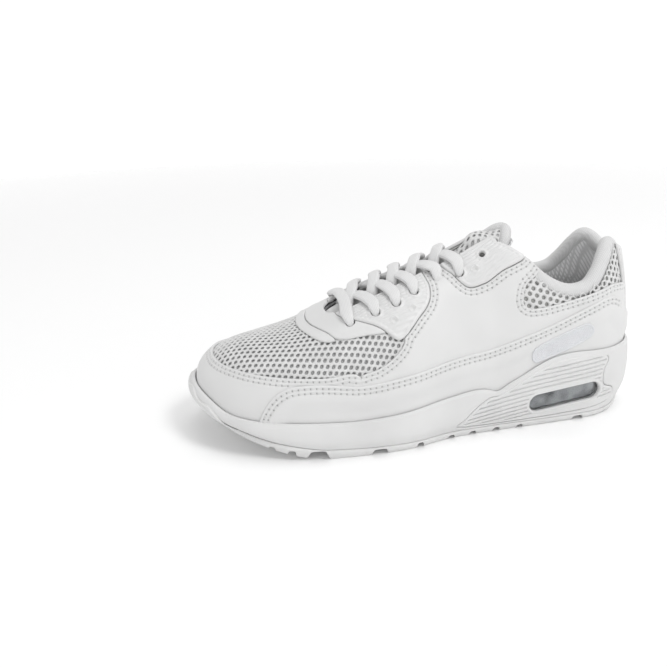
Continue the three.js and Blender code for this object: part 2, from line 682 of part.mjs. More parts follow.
// The rolled edge of the collar follows the top line, just inside the foot shape.
function buildCollarBinding() {
  const stations = [0.745, 0.76, 0.79, 0.82, 0.85, 0.88, 0.91, 0.94, 0.97, 1];
  const around = [...stations.map((a) => -a), ...stations.reverse().slice(1)];
  const spots = around.map((u) => {
    const level = levelWhere(u, belowTopLine(BINDING_DROP));
    return skin(u, level).addScaledVector(skinNormal(u, level), -BINDING_INSET);
  });
  return tube(spots, BINDING_RADIUS, 8, 40);
}

function buildBadge(side) {
  return thicken(skinSheet, constant(BADGE[0]), constant(BADGE[1])).intersect(sidePrism(BADGE_OUTLINE, side));
}

// ---- tongue ---------------------------------------------------------------

const tongueHeight = curve([[-66, 62], [-48, 70.5], [-21, 81.5], [18, 96], [33, 101.5], [44, 108],
  [50, 113], [54, 118]]);
const tongueHalf = curve([[-66, 13], [-50, 20], [-20, 23], [5, 22], [20, 20.5], [38, 17], [46, 11],
  [54, 6.5]]);
const tongueCrown = curve([[-66, 0.012], [-20, 0.015], [20, 0.022], [54, 0.026]]);
const TONGUE_STATIONS = [54, 51, 48, 44, 39, 34, 28, 22.8, 22, 5, -8, -21, -35, -48, -58, -66];
const TONGUE_ACROSS = [-1, -0.7, -0.35, 0, 0.35, 0.7, 1];

function tonguePoint(x, part) {
  const distance = Math.abs(part) * tongueHalf(x);
  const y = across(x, distance, part < 0 ? LATERAL : MEDIAL);
  return new THREE.Vector3(x, y, tongueHeight(x) - tongueCrown(x) * distance * distance);
}

function tongueNormal(x, part) {
  const slope = tongueHeight(x + 0.5) - tongueHeight(x - 0.5);
  const lean = 2 * tongueCrown(x) * part * tongueHalf(x);
  return new THREE.Vector3(-slope, lean, 1).normalize();
}

function tongueLayer(fromX, toX, low, high) {
  const stations = TONGUE_STATIONS.filter((x) => x >= fromX && x <= toX);
  const sheet = sheetOver(stations, TONGUE_ACROSS, tonguePoint, tongueNormal);
  return thicken(sheet, constant(low), constant(high));
}

// ---- lace -----------------------------------------------------------------

function laceSpot(x, distance, side, lift) {
  const { at, normal } = skinAbove(x, across(x, distance, side));
  return at.addScaledVector(normal, lift);
}

const slotHalf = curve([[-59, 8], [-53, 12], [-40, 14.5], [-21, 14], [-10, 12.5], [5, 10.5], [19, 9.5],
  [34, 8]]);

// Down through an eyelet from above and back towards the throat underneath.
function throughEyelet(index, side) {
  const [x, distance] = EYELETS[index];
  return [
    laceSpot(x, distance - 5, side, 4),
    laceSpot(x, distance - 1.2, side, 3.5),
    laceSpot(x, distance - 0.1, side, -1),
    laceSpot(x, distance - 1.6, side, -5),
    laceSpot(x, distance - 5, side, -5.2),
  ];
}

// From under one edge of the throat, across the tongue, to the next eyelet of the other side.
function crossing(index, side, lift) {
  const [fromX] = EYELETS[index];
  const [toX] = EYELETS[index + 1];
  const at = (part) => fromX + (toX - fromX) * part;
  const middle = new THREE.Vector3(at(0.6), 0, ridge(at(0.6)) + lift);
  return [
    laceSpot(at(0.28), slotHalf(at(0.28)), side, -5.1),
    laceSpot(at(0.42), slotHalf(at(0.42)) - 5.5, side, -1),
    middle,
    laceSpot(at(0.86), slotHalf(at(0.86)) - 0.5, -side, 4),
  ];
}

function laceHalf(startSide, liftEven, liftOdd) {
  const points = [];
  let side = startSide;
  for (let i = 0; i < LACED; i += 1) {
    points.push(...throughEyelet(i, side));
    if (i + 1 < LACED) points.push(...crossing(i, side, i % 2 ? liftOdd : liftEven));
    side = -side;
  }
  return points;
}

// One whole lace: a straight bar at the bottom, then both halves up to the sixth pair.
function buildLace() {
  const lateral = laceHalf(LATERAL, 5.4, 1.4);
  const medial = laceHalf(MEDIAL, 1.4, 5.4);
  const [barX] = EYELETS[0];
  const bar = [10, 0, -10].map((y) => new THREE.Vector3(barX, y, ridge(barX) + 5.6 - y * y * 0.012));
  return tube([...medial.reverse(), ...bar, ...lateral], LACE_RADIUS, 6, LACE_STEPS);
}

// ---- the shoe -------------------------------------------------------------

const LEATHER = { colour: 0xe9e9e7, roughness: 0.5 };
const MESH_CLOTH = { colour: 0xe2e2e0, roughness: 0.85 };
const LINING_CLOTH = { colour: 0xc9c9c8, roughness: 0.95 };
const FOAM = { colour: 0xd8d5c8, roughness: 1 };
const RUBBER = { colour: 0xe4e4e1, roughness: 0.7 };
const PLASTIC = { colour: 0xececea, roughness: 0.35 };
const BOARD = { colour: 0xb9b2a2, roughness: 0.9 };
const CLEAR = { colour: 0xa9adb0, roughness: 0.15 };

const SHOE_LOOKS = {
  outsole: RUBBER,
  midsole: RUBBER,
  air_unit: CLEAR,
  strobel_board: BOARD,
  heel_counter: BOARD,
  toe_puff: BOARD,
  collar_padding: FOAM,
  tongue_foam: FOAM,
  insole: LINING_CLOTH,
  collar_binding: LINING_CLOTH,
  vamp_mesh: MESH_CLOTH,
  tongue_mesh: MESH_CLOTH,
  lace: MESH_CLOTH,
};

function lookFor(name) {
  if (SHOE_LOOKS[name]) return SHOE_LOOKS[name];
  if (name.includes('lining')) return LINING_CLOTH;
  if (name.includes('backing')) return FOAM;
  if (name.startsWith('collar_mesh')) return MESH_CLOTH;
  if (name.includes('eyestay') || name.includes('badge') || name.includes('frame')) return PLASTIC;
  return LEATHER;
}

function toMesh(name, solid) {
  const { vertProperties, triVerts, numProp } = solid.getMesh();
  const geometry = new THREE.BufferGeometry();
  const positions = [];
  for (let i = 0; i < vertProperties.length; i += numProp) {
    positions.push(vertProperties[i], vertProperties[i + 1], vertProperties[i + 2]);
  }
  geometry.setAttribute('position', new THREE.Float32BufferAttribute(positions, 3));
  geometry.setIndex([...triVerts]);
  geometry.computeVertexNormals();
  const { colour, roughness } = lookFor(name);
  const material = new THREE.MeshStandardMaterial({ color: colour, roughness, metalness: 0 });
  const mesh = new THREE.Mesh(geometry, material);
  mesh.name = name;
  return mesh;
}

const solids = {
  outsole: buildOutsole(),
  midsole: buildMidsole(),
  window_frame_lateral: buildWindowFrame(LATERAL),
  window_frame_medial: buildWindowFrame(MEDIAL),
  air_unit: buildAirUnit(),
  strobel_board: bedSlab(-3.7, GAP, constant(GAP + BOARD_THICKNESS)),
  insole: bedSlab(-4.5, 2 * GAP + BOARD_THICKNESS, insoleTop),
  ...buildBase(),
  ...buildLinings(),
  collar_binding: buildCollarBinding(),
  ...buildOverlays(),
  badge_lateral: buildBadge(LATERAL),
  badge_medial: buildBadge(MEDIAL),
  tongue_leather: tongueLayer(-66, 22, -1.2, 0),
  tongue_mesh: tongueLayer(22.8, 54, -1.2, 0),
  tongue_foam: tongueLayer(-58, 51, -6, -1.5),
  tongue_lining: tongueLayer(-66, 54, -7.3, -6.3),
  lace: buildLace(),
};

const shoe = new THREE.Group();
shoe.name = 'running_shoe';
Object.entries(solids).forEach(([name, solid]) => shoe.add(toMesh(name, solid)));

// The origin is below the middle of the shoe, on the ground.
const bounds = new THREE.Box3().setFromObject(shoe);
const middle = bounds.getCenter(new THREE.Vector3());
shoe.children.forEach((mesh) => mesh.geometry.translate(-middle.x, -middle.y, -bounds.min.z));

export default shoe;
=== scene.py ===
"""Running shoe for the left foot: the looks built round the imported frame."""
import json
import math

import bpy
import numpy as np
from mathutils import Matrix, Vector
from mathutils.bvhtree import BVHTree
from mathutils.kdtree import KDTree


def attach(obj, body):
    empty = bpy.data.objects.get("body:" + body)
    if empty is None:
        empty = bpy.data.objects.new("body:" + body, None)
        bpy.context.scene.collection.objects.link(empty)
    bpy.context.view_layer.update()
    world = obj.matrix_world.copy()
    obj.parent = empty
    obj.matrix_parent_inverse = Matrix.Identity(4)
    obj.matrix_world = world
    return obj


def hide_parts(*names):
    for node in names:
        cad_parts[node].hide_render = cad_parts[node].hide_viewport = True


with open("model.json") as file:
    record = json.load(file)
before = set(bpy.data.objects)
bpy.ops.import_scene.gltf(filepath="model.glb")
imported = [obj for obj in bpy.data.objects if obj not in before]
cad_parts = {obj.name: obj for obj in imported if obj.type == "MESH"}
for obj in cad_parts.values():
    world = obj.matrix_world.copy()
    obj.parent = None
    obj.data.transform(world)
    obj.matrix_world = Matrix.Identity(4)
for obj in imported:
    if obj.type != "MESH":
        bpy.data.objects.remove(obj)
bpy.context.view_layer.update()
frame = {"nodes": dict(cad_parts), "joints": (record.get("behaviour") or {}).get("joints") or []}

MM = 0.001
LATERAL, MEDIAL = -1, 1
SIDES = ((LATERAL, "lateral"), (MEDIAL, "medial"))

# The frame's origin in the millimetres used below, read from the tongue's hinge.
HINGE = next(j for j in frame["joints"] if j["name"] == "tongue_press")["pos_m"]
SHIFT = np.array([HINGE[0] * 1000 + 64, HINGE[1] * 1000, 0.0])


# ---- camera and stage -------------------------------------------------------

def into_scene(name, data):
    made = bpy.data.objects.new(name, data)
    bpy.context.scene.collection.objects.link(made)
    return made


def place_camera():
    camera = into_scene("camera", bpy.data.cameras.new("camera"))
    right = Vector((0.9794, -0.2011, -0.0157)).normalized()
    forward = Vector((0.1830, 0.9181, -0.3515)).normalized()
    up = right.cross(forward)
    right = forward.cross(up)
    spot = (np.array([-136.5, -413.7, 217.1]) + SHIFT) * MM
    camera.matrix_world = Matrix.Translation(spot) @ Matrix((right, up, -forward)).transposed().to_4x4()
    camera.data.lens = 39.3
    camera.data.sensor_width = 36
    camera.data.clip_start = 0.01
    bpy.context.scene.camera = camera


def area_light(name, spot, target, size, power):
    data = bpy.data.lights.new(name, "AREA")
    data.shape = "DISK"
    data.size = size
    data.energy = power
    light = into_scene(name, data)
    light.location = spot
    light.rotation_euler = (Vector(target) - Vector(spot)).to_track_quat("-Z", "Y").to_euler()


def staged(name, points, faces, colour, glow):
    mesh = bpy.data.meshes.new(name)
    mesh.from_pydata(points, [], faces)
    made = into_scene(name, mesh)
    paint, _, _ = new_paint(name + "_paint", grey(colour), 0.9, Emission_Color=(1, 1, 1, 1),
                            Emission_Strength=glow)
    mesh.materials.append(paint)


def build_stage():
    """A white floor in a round of lit white cloth, soft light from above and a key light."""
    reach, radius, steps = 3, 1.3, 48
    staged("floor", [(-reach, -reach, 0), (reach, -reach, 0), (reach, reach, 0), (-reach, reach, 0)],
           [(0, 1, 2, 3)], 0.97, 0.0)
    turns = [2 * math.pi * i / steps for i in range(steps)]
    ring = [(radius * math.cos(a), radius * math.sin(a), z) for z in (-0.05, 0.8) for a in turns]
    walls = [(i, (i + 1) % steps, steps + (i + 1) % steps, steps + i) for i in range(steps)]
    staged("backdrop", ring, walls, 0.02, 1.01)
    world = bpy.data.worlds.new("studio")
    bpy.context.scene.world = world
    world.use_nodes = True
    background = world.node_tree.nodes["Background"]
    background.inputs["Color"].default_value = (1, 1, 1, 1)
    background.inputs["Strength"].default_value = 0.5
    area_light("key", (0.5, -0.75, 1.3), (0, 0, 0.03), 0.5, 8)
    area_light("fill", (0, 0.2, 1.6), (0, 0.2, 0), 1.2, 5.4)
    bpy.context.scene.view_settings.view_transform = "Standard"


# ---- curves -----------------------------------------------------------------

class Curve:
    """A smooth curve through (x, value) pairs."""

    def __init__(self, *points):
        self.x, self.y = np.array(points, float).T
        last = len(points) - 1
        before = np.maximum(np.arange(last + 1) - 1, 0)
        after = np.minimum(np.arange(last + 1) + 1, last)
        self.slope = (self.y[after] - self.y[before]) / (self.x[after] - self.x[before])

    def __call__(self, at):
        x = np.clip(at, self.x[0], self.x[-1])
        i = np.clip(np.searchsorted(self.x, x, side="left") - 1, 0, len(self.x) - 2)
        width = self.x[i + 1] - self.x[i]
        t = (x - self.x[i]) / width
        rise = t * t * (3 - 2 * t)
        lean = self.slope[i] * t * (1 - t) ** 2 + self.slope[i + 1] * t * t * (t - 1)
        return self.y[i] * (1 - rise) + self.y[i + 1] * rise + width * lean


lateral_half = Curve((-143, 50), (-100, 51), (-70, 52.5), (-40, 53.5), (-15, 52), (10, 45.5),
                     (40, 42), (75, 40.5), (105, 39.5), (142.5, 38))
medial_half = Curve((-143, 46), (-110, 48), (-80, 50), (-55, 50), (-25, 45), (10, 38),
                    (40, 36.5), (75, 37), (105, 37.5), (142.5, 37))
centre_line = Curve((-143, 9), (-120, 5), (-90, 1.5), (-60, 0), (142.5, 0))
wall_top = Curve((-143, 37), (-133, 33), (-122, 27), (-107, 25), (-90, 24.5), (-70, 23.6),
                 (-50, 23.2), (-28, 24.5), (-8, 27), (11, 28.8), (24, 30.2), (32, 29.4), (39, 27.4),
                 (47, 31.5), (56, 36), (64, 40.5), (73, 44.5), (82, 46.5), (92, 47.2), (112, 46.8),
                 (142.5, 47))
foot_bed = Curve((-143, 29), (-133, 26.5), (-120, 22.5), (-107, 20), (-80, 18), (-50, 17.5),
                 (-20, 19), (10, 21.5), (40, 22), (70, 27), (100, 31), (142.5, 32))
tread_line = Curve((-143, 24), (-137, 20.5), (-125, 15.5), (-106, 9), (-92, 4.6), (-79, 1.4),
                   (-68, 0), (-60, 0), (112, 0), (126, 0.8), (142.5, 4))
outsole_depth = Curve((-143, 3.5), (-110, 4.5), (-80, 6.5), (-40, 5), (0, 4.5), (142.5, 4))
sole_foot = Curve((-143, -1), (-110, 1.5), (-70, 3), (0, 2), (60, 2.5), (110, 1.5), (142.5, 0))
ridge = Curve((-143, 53), (-120, 58.8), (-95, 62), (-77, 66.3), (-48, 78.8), (-21, 90.6),
              (18, 105.7), (44, 116), (60, 121), (80, 135), (100, 148), (142.5, 150))
fullness = Curve((-143, 0.8), (-100, 0.72), (-60, 0.765), (-20, 0.88), (20, 0.99), (60, 0.84),
                 (95, 1.05), (142.5, 1.02))
top_line = Curve((46, 114.5), (51, 112), (60, 106.2), (69, 97.8), (80, 91), (89, 88.5), (98, 91),
                 (106, 99.5), (113, 109), (119, 114), (125, 112), (133, 106), (150, 104))


def ground(x):
    return np.maximum(tread_line(x), 0)


def smooth_step(low, high, x):
    t = np.clip((x - low) / (high - low), 0, 1)
    return t * t * (3 - 2 * t)


def unit(v):
    return v / np.maximum(np.linalg.norm(v, axis=-1, keepdims=True), 1e-12)


def run_along(points):
    """Distance along a line from its first point to each of its points."""
    return np.concatenate([[0], np.cumsum(np.linalg.norm(np.diff(points, axis=0), axis=1))])


def relaxed(rows, times, as_unit=False):
    """Rows mixed with their neighbours a number of times; the two ends stay."""
    for _ in range(times):
        mixed = (rows[:-2] + 2 * rows[1:-1] + rows[2:]) / 4
        rows[1:-1] = unit(mixed) if as_unit else mixed
    return rows


# ---- the sole's outline and the foot shape ----------------------------------

def end_cap(x):
    toe = np.clip((-80 - x) / 63, 0, 1)
    heel = np.clip((x - 98) / 44.5, 0, 1)
    return np.maximum(0, 1 - toe ** 2.25) ** (1 / 2.25) * np.maximum(0, 1 - heel ** 2.2) ** (1 / 2.2)


FEATHER_INSET = 5.0


def feather_table(side):
    t = np.linspace(0, 1, 601)
    x = -0.25 - 142.75 * np.cos(np.pi * t)
    half = lateral_half(x) if side < 0 else medial_half(x)
    spot = np.stack([x, centre_line(x) + side * half * end_cap(x)], 1)
    along = unit(np.vstack([spot[1:], spot[-1:]]) - np.vstack([spot[:1], spot[:-1]]))
    outward = np.stack([-along[:, 1] * side, along[:, 0] * side], 1)
    outward[0], outward[-1] = (-1, 0), (1, 0)
    spot = spot - outward * FEATHER_INSET
    run = run_along(spot)
    return run / run[-1], spot, outward, run[-1]


FEATHERS = {side: feather_table(side) for side in (LATERAL, MEDIAL)}
AROUND = FEATHERS[LATERAL][3]


def feather(u):
    """Spot and outward direction on the feather line; u is -1 to 1, its sign gives the side."""
    u = np.asarray(u, float)
    found = {}
    for side, (fraction, spot, outward, _) in FEATHERS.items():
        columns = [np.interp(np.abs(u), fraction, c) for c in (*spot.T, *outward.T)]
        found[side] = np.stack(columns, -1)
    both = np.where((u < 0)[..., None], found[LATERAL], found[MEDIAL])
    return both[..., :2], unit(both[..., 2:])


def outward_3d(u):
    """The level direction away from the foot, in three dimensions."""
    flat = feather(u)[1]
    return np.concatenate([flat, np.zeros(flat.shape[:-1] + (1,))], -1)


def skin(u, level):
    """A point of the foot shape; level is -1 at the foot bed, 0 at the sole's edge, 1 on top."""
    u, level = np.broadcast_arrays(np.asarray(u, float), np.asarray(level, float))
    spot = feather(u)[0]
    mean = (spot[..., 0] + feather(-u)[0][..., 0]) / 2
    top = -95 + 195 * (mean + 143) / 285.5
    start = wall_top(spot[..., 0]) - 4
    low = foot_bed(spot[..., 0]) + 0.3
    power = fullness(spot[..., 0])
    angle = np.clip(level, 0, 1) * np.pi / 2
    inward = 1 - np.maximum(np.cos(angle), 0) ** power
    upward = np.sin(angle) ** power
    x = spot[..., 0] + (top - spot[..., 0]) * inward
    y = spot[..., 1] + (centre_line(top) * 0.8 - spot[..., 1]) * inward
    z = np.where(level < 0, start + (start - low) * level, start + (ridge(x) - start) * upward)
    return np.stack([x, y, z], -1)


def skin_normal(u, level):
    u, level = np.broadcast_arrays(np.asarray(u, float), np.asarray(level, float))
    step = 0.004

    def slope(a, b):
        along = skin(a + step, b) - skin(a - step, b)
        up = skin(a, b + step) - skin(a, b - step)
        return -unit(np.cross(along, up))

    inner = np.clip(np.abs(u), 2 * step, 1 - 2 * step)
    low = np.clip(level, step, 1 - 3 * step)
    sign = np.where(u < 0, -1.0, 1.0)
    here = slope(inner * sign, low)
    there = slope(-inner * sign, low)
    seam = (level > 1 - 2 * step) | (np.abs(u) < step) | (np.abs(u) > 1 - step)
    normal = np.where(seam[..., None], unit(here + there), here)
    flat = np.concatenate([feather(u)[1], np.zeros(u.shape + (1,))], -1)
    return np.where((level < step)[..., None], flat, normal)


def across_share(x):
    """How much narrower the medial side is at x."""
    return (medial_half(x) - 7) / (lateral_half(x) - 7)


# ---- sheets: points with normals and fields, split along lines of a field ----

def edges_of(triangles):
    return np.vstack([triangles[:, [0, 1]], triangles[:, [1, 2]], triangles[:, [2, 0]]])


def unpaired(edges, count):
    """The directed edges whose opposite is not among them."""
    forward = edges[:, 0].astype(np.int64) * count + edges[:, 1]
    backward = edges[:, 1].astype(np.int64) * count + edges[:, 0]
    return edges[~np.isin(forward, backward)]


def compacted(faces, count):
    """The points that some faces use, and the faces renumbered for them."""
    used = np.unique(faces)
    index = np.full(count, -1)
    index[used] = np.arange(len(used))
    return used, index[faces]


def welded(points, fineness):
    """The first point of each group that lies together, and the group of every point."""
    _, first, index = np.unique(np.round(points * fineness).astype(np.int64), axis=0,
                                return_index=True, return_inverse=True)
    return first, index.ravel()


def whole(triangles):
    """The triangles with three different corners."""
    a, b, c = triangles.T
    return triangles[(a != b) & (b != c) & (c != a)]


def grid_corners(index):
    return index[:-1, :-1], index[1:, :-1], index[1:, 1:], index[:-1, 1:]


def grid_triangles(rows, columns):
    a, b, c, d = grid_corners(np.arange(rows * columns).reshape(rows, columns))
    return np.vstack([np.stack([a, b, c], -1).reshape(-1, 3), np.stack([a, c, d], -1).reshape(-1, 3)])


class Sheet:
    def __init__(self, points, normals, triangles, **fields):
        self.p, self.n, self.t = points, normals, triangles
        self.f = fields

    def copy(self):
        return Sheet(self.p, self.n, self.t, **self.f)

    def _insert(self, edges, share):
        """New points on edges at a share of the way, and a finder of the one between two
        points, which gives -1 where there is none."""
        a, b = edges.T
        s = share[:, None]
        made = np.arange(len(self.p), len(self.p) + len(edges))
        self.p = np.vstack([self.p, self.p[a] * (1 - s) + self.p[b] * s])
        self.n = np.vstack([self.n, unit(self.n[a] * (1 - s) + self.n[b] * s)])
        self.f = {k: np.concatenate([v, v[a] * (1 - share) + v[b] * share]) for k, v in self.f.items()}
        count = len(self.p)
        keys = a.astype(np.int64) * count + b
        order = np.argsort(keys)
        keys = keys[order]

        def middle(i, j):
            wanted = np.minimum(i, j).astype(np.int64) * count + np.maximum(i, j)
            at = np.clip(np.searchsorted(keys, wanted), 0, len(keys) - 1)
            return np.where(keys[at] == wanted, made[order[at]], -1)

        return made, middle

    def split(self, name, at=0.0, snap=0.04):
        """Adds points where the field passes a value, so that its line runs along edges."""
        value = self.f[name] - at
        value = np.where(np.abs(value) < snap, 0, value)
        self.f[name] = value + at
        sign = np.sign(value)
        edges = np.sort(edges_of(self.t), 1)
        edges = np.unique(edges[sign[edges[:, 0]] * sign[edges[:, 1]] < 0], axis=0)
        if not len(edges):
            return self
        a, b = edges.T
        made, middle = self._insert(edges, value[a] / (value[a] - value[b]))
        self.f[name][made] = at
        s = sign[self.t]
        crossing = (s.min(1) < 0) & (s.max(1) > 0)
        out = [self.t[~crossing]]
        for k in range(3):
            turned = [k, (k + 1) % 3, (k + 2) % 3]
            t, st = self.t[crossing][:, turned], s[crossing][:, turned]
            lone = (st[:, 0] * st[:, 1] < 0) & (st[:, 0] * st[:, 2] < 0)
            i, j, m = t[lone].T
            ij, im = middle(i, j), middle(i, m)
            out += [np.stack([i, ij, im], 1), np.stack([ij, j, m], 1), np.stack([ij, m, im], 1)]
            touch = (st[:, 0] == 0) & (st[:, 1] * st[:, 2] < 0)
            i, j, m = t[touch].T
            jm = middle(j, m)
            out += [np.stack([i, j, jm], 1), np.stack([i, jm, m], 1)]
        self.t = np.vstack(out)
        return self

    def refine(self, wanted):
        """Halves the edges of the wanted triangles."""
        marked = np.unique(np.sort(edges_of(self.t), 1)[np.tile(wanted, 3)], axis=0)
        _, middle = self._insert(marked, np.full(len(marked), 0.5))
        i, j, k = self.t.T
        ij, jk, ki = middle(i, j), middle(j, k), middle(k, i)
        halves = (ij >= 0).astype(int) + (jk >= 0) + (ki >= 0)
        out = [self.t[halves == 0]]
        m = halves == 3
        out += [np.stack(c, 1)[m] for c in ((i, ij, ki), (ij, j, jk), (ki, jk, k), (ij, jk, ki))]
        for p, q, r, pq, qr, rp in ((i, j, k, ij, jk, ki), (j, k, i, jk, ki, ij), (k, i, j, ki, ij, jk)):
            m = (halves == 1) & (pq >= 0)
            out += [np.stack(c, 1)[m] for c in ((p, pq, r), (pq, q, r))]
            m = (halves == 2) & (rp < 0)
            out += [np.stack(c, 1)[m] for c in ((p, pq, r), (pq, qr, r), (pq, q, qr))]
        self.t = np.vstack(out)
        return self

    def finer(self, times):
        for _ in range(times):
            self.refine(np.ones(len(self.t), bool))
        return self

    def keep(self, name):
        """Keeps the triangles whose field is at or above zero."""
        value = self.f[name][self.t]
        return self.only((value >= -1e-6).all(1) & (value.max(1) > 1e-6))

    def only(self, good):
        used, self.t = compacted(self.t[good], len(self.p))
        self.p, self.n = self.p[used], self.n[used]
        self.f = {k: v[used] for k, v in self.f.items()}
        return self

    def border(self):
        """Edges that belong to one triangle, in that triangle's direction."""
        return unpaired(edges_of(self.t), len(self.p))

    def measure(self, name, choose=None):
        """Stores each point's distance from the sheet's cut border as a field."""
        border = self.border()
        border = border[~(self.f["rim"][border] > 0.5).all(1)]
        if choose is not None and len(border):
            border = border[choose({k: v[border].mean(1) for k, v in self.f.items()})]
        self.f[name] = distance_to(self.p, self.p[border[:, 0]], self.p[border[:, 1]])
        return self

    def edge_steps(self, *steps):
        """Measures the distance from the edge, and adds rows of points at some distances."""
        self.measure("edge")
        for at in steps:
            self.split("edge", at, snap=0.02)
        return self


def tree_of(spots):
    tree = KDTree(len(spots))
    for i, spot in enumerate(spots):
        tree.insert(spot, i)
    tree.balance()
    return tree


def distance_to(points, starts, ends, reach=30.0):
    """Distance from each point to the nearest of many short segments."""
    if not len(starts):
        return np.full(len(points), reach)
    tree = tree_of((starts + ends) / 2)
    nearest = np.array([[hit[1] for hit in tree.find_n(p, 4)] + [0] * 4 for p in points])[:, :4]
    best = np.full(len(points), reach)
    for column in nearest.T:
        a, b = starts[column], ends[column]
        along = b - a
        t = np.clip(((points - a) * along).sum(1) / np.maximum((along ** 2).sum(1), 1e-12), 0, 1)
        best = np.minimum(best, np.linalg.norm(points - a - along * t[:, None], axis=1))
    return best


def inside(polygon, x, y):
    """Signed distance to a closed outline in a plane, positive inside."""
    a = np.asarray(polygon, float)
    b = np.roll(a, -1, axis=0)
    q = np.stack([x, y], 1)
    best = np.full(len(q), 1e9)
    odd = np.zeros(len(q), bool)
    for (ax, ay), (bx, by) in zip(a, b):
        along = np.array([bx - ax, by - ay])
        t = np.clip(((q - (ax, ay)) @ along) / max(along @ along, 1e-12), 0, 1)
        best = np.minimum(best, np.linalg.norm(q - (ax, ay) - t[:, None] * along, axis=1))
        if ay != by:
            reach = (bx - ax) * (q[:, 1] - ay) / (by - ay) + ax
            odd ^= ((ay > q[:, 1]) != (by > q[:, 1])) & (q[:, 0] < reach)
    return np.where(odd, best, -best)


def bend(stops, steps, least):
    """Steps of a smooth curve from the second to the third of four stops."""
    a, b, c, d = stops
    gaps = [max(np.linalg.norm(v[:3]), least) ** 0.5 for v in (b - a, c - b, d - c)]
    t0, t1, t2, t3 = np.cumsum([0, *gaps])
    out = []
    for t in np.linspace(t1, t2, steps, endpoint=False):
        ab = (t1 - t) / (t1 - t0) * a + (t - t0) / (t1 - t0) * b
        bc = (t2 - t) / (t2 - t1) * b + (t - t1) / (t2 - t1) * c
        cd = (t3 - t) / (t3 - t2) * c + (t - t2) / (t3 - t2) * d
        abc = (t2 - t) / (t2 - t0) * ab + (t - t0) / (t2 - t0) * bc
        bcd = (t3 - t) / (t3 - t1) * bc + (t - t1) / (t3 - t1) * cd
        out.append((t2 - t) / (t2 - t1) * abc + (t - t1) / (t2 - t1) * bcd)
    return out


def rounded(points, steps=5):
    """A closed outline with its corners turned into a smooth curve."""
    p = np.asarray(points, float)
    stops = [p[np.arange(i - 1, i + 3) % len(p)] for i in range(len(p))]
    return np.array([spot for four in stops for spot in bend(four, steps, 1e-6)])


def spline(values, steps=9):
    """A smooth line through rows of values, even in steps between stops."""
    v = np.asarray(values, float)
    v = np.vstack([2 * v[0] - v[1], v, 2 * v[-1] - v[-2]])
    out = [row for i in range(len(v) - 3) for row in bend(v[i:i + 4], steps, 1e-3)]
    return np.array(out + [v[-2]])


# ---- making pieces ------------------------------------------------------------

def add_piece(name, points, faces, paint, body, replaces=(), slot=None, sharp=42, **fields):
    """A mesh object from points in millimetres and a list of face arrays."""
    faces = [np.asarray(f, np.int64) for f in (faces if isinstance(faces, list) else [faces])]
    faces = [f for f in faces if len(f)]
    mesh = bpy.data.meshes.new(name)
    mesh.vertices.add(len(points))
    mesh.vertices.foreach_set("co", ((points + SHIFT) * MM).astype(np.float32).ravel())
    loops = np.concatenate([f.ravel() for f in faces])
    sizes = np.concatenate([np.full(len(f), f.shape[1]) for f in faces])
    mesh.loops.add(len(loops))
    mesh.loops.foreach_set("vertex_index", loops.astype(np.int32))
    mesh.polygons.add(len(sizes))
    mesh.polygons.foreach_set("loop_start", (np.cumsum(sizes) - sizes).astype(np.int32))
    mesh.update(calc_edges=True)
    mesh.validate()
    mesh.shade_smooth()
    mesh.set_sharp_from_angle(angle=math.radians(sharp))
    for key, values in fields.items():
        mesh.attributes.new(key, "FLOAT", "POINT").data.foreach_set("value", values.astype(np.float32))
    mesh.materials.append(paint)
    piece = into_scene(name, mesh)
    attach(piece, body)
    if replaces:
        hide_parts(*replaces)
    return piece


def solid_between(sheet, low, high):
    """Points and triangles of the closed body between two offsets of a sheet."""
    low, high = (np.broadcast_to(np.asarray(v, float), len(sheet.p)) for v in (low, high))
    count = len(sheet.p)
    points = np.vstack([sheet.p + sheet.n * high[:, None], sheet.p + sheet.n * low[:, None]])
    i, j = sheet.border().T
    walls = np.vstack([np.stack([j, i, i + count], 1), np.stack([j, i + count, j + count], 1)])
    return points, np.vstack([sheet.t, sheet.t[:, ::-1] + count, walls])


def round_edge(distance, thickness, radius):
    """Height above the inner face: full inside, rolling down to a thin edge."""
    t = 1 - np.clip(distance / radius, 0, 1)
    return thickness * (0.3 + 0.7 * np.sqrt(np.maximum(0, 1 - t * t)))


def waves(points, size, seed, count=14):
    """Smooth unevenness from -1 to 1, with features of about the given size."""
    source = np.random.default_rng(seed)
    total = np.zeros(len(points))
    for _ in range(count):
        way = unit(source.normal(size=3))
        length = size * source.uniform(0.7, 1.6)
        total += np.sin(points @ way * (2 * np.pi / length) + source.uniform(0, 6.3))
    return total / count ** 0.5 / 1.6


def chains(sheet, name, at):
    """The lines along which a field has one value, as lists of point indices."""
    edges = np.sort(edges_of(sheet.t), 1)
    on = np.abs(sheet.f[name] - at) < 1e-5
    edges = np.unique(edges[on[edges].all(1)], axis=0)
    links = {}
    for a, b in edges:
        links.setdefault(a, []).append(b)
        links.setdefault(b, []).append(a)
    ends = sorted(k for k, v in links.items() if len(v) == 1)
    lines, seen = [], set()
    for start in ends + sorted(links):
        if start in seen:
            continue
        line = []
        onward = [start]
        while onward:
            line.append(onward[0])
            seen.add(onward[0])
            onward = [b for b in links[line[-1]] if b not in seen]
        if len(line) > 3 and line[0] in links[line[-1]]:
            line.append(line[0])
        lines.append(line)
    return lines


def even_spots(points, normals, pitch):
    """Points at equal steps along a line, with normals."""
    run = run_along(points)
    count = max(int(round(run[-1] / pitch)), 1)
    at = np.linspace(0, run[-1], count + 1)
    spots = np.stack([np.interp(at, run, c) for c in points.T], 1)
    return spots, unit(np.stack([np.interp(at, run, c) for c in normals.T], 1))


STITCH = 3.4
SHORTEST_ROW = 7.0


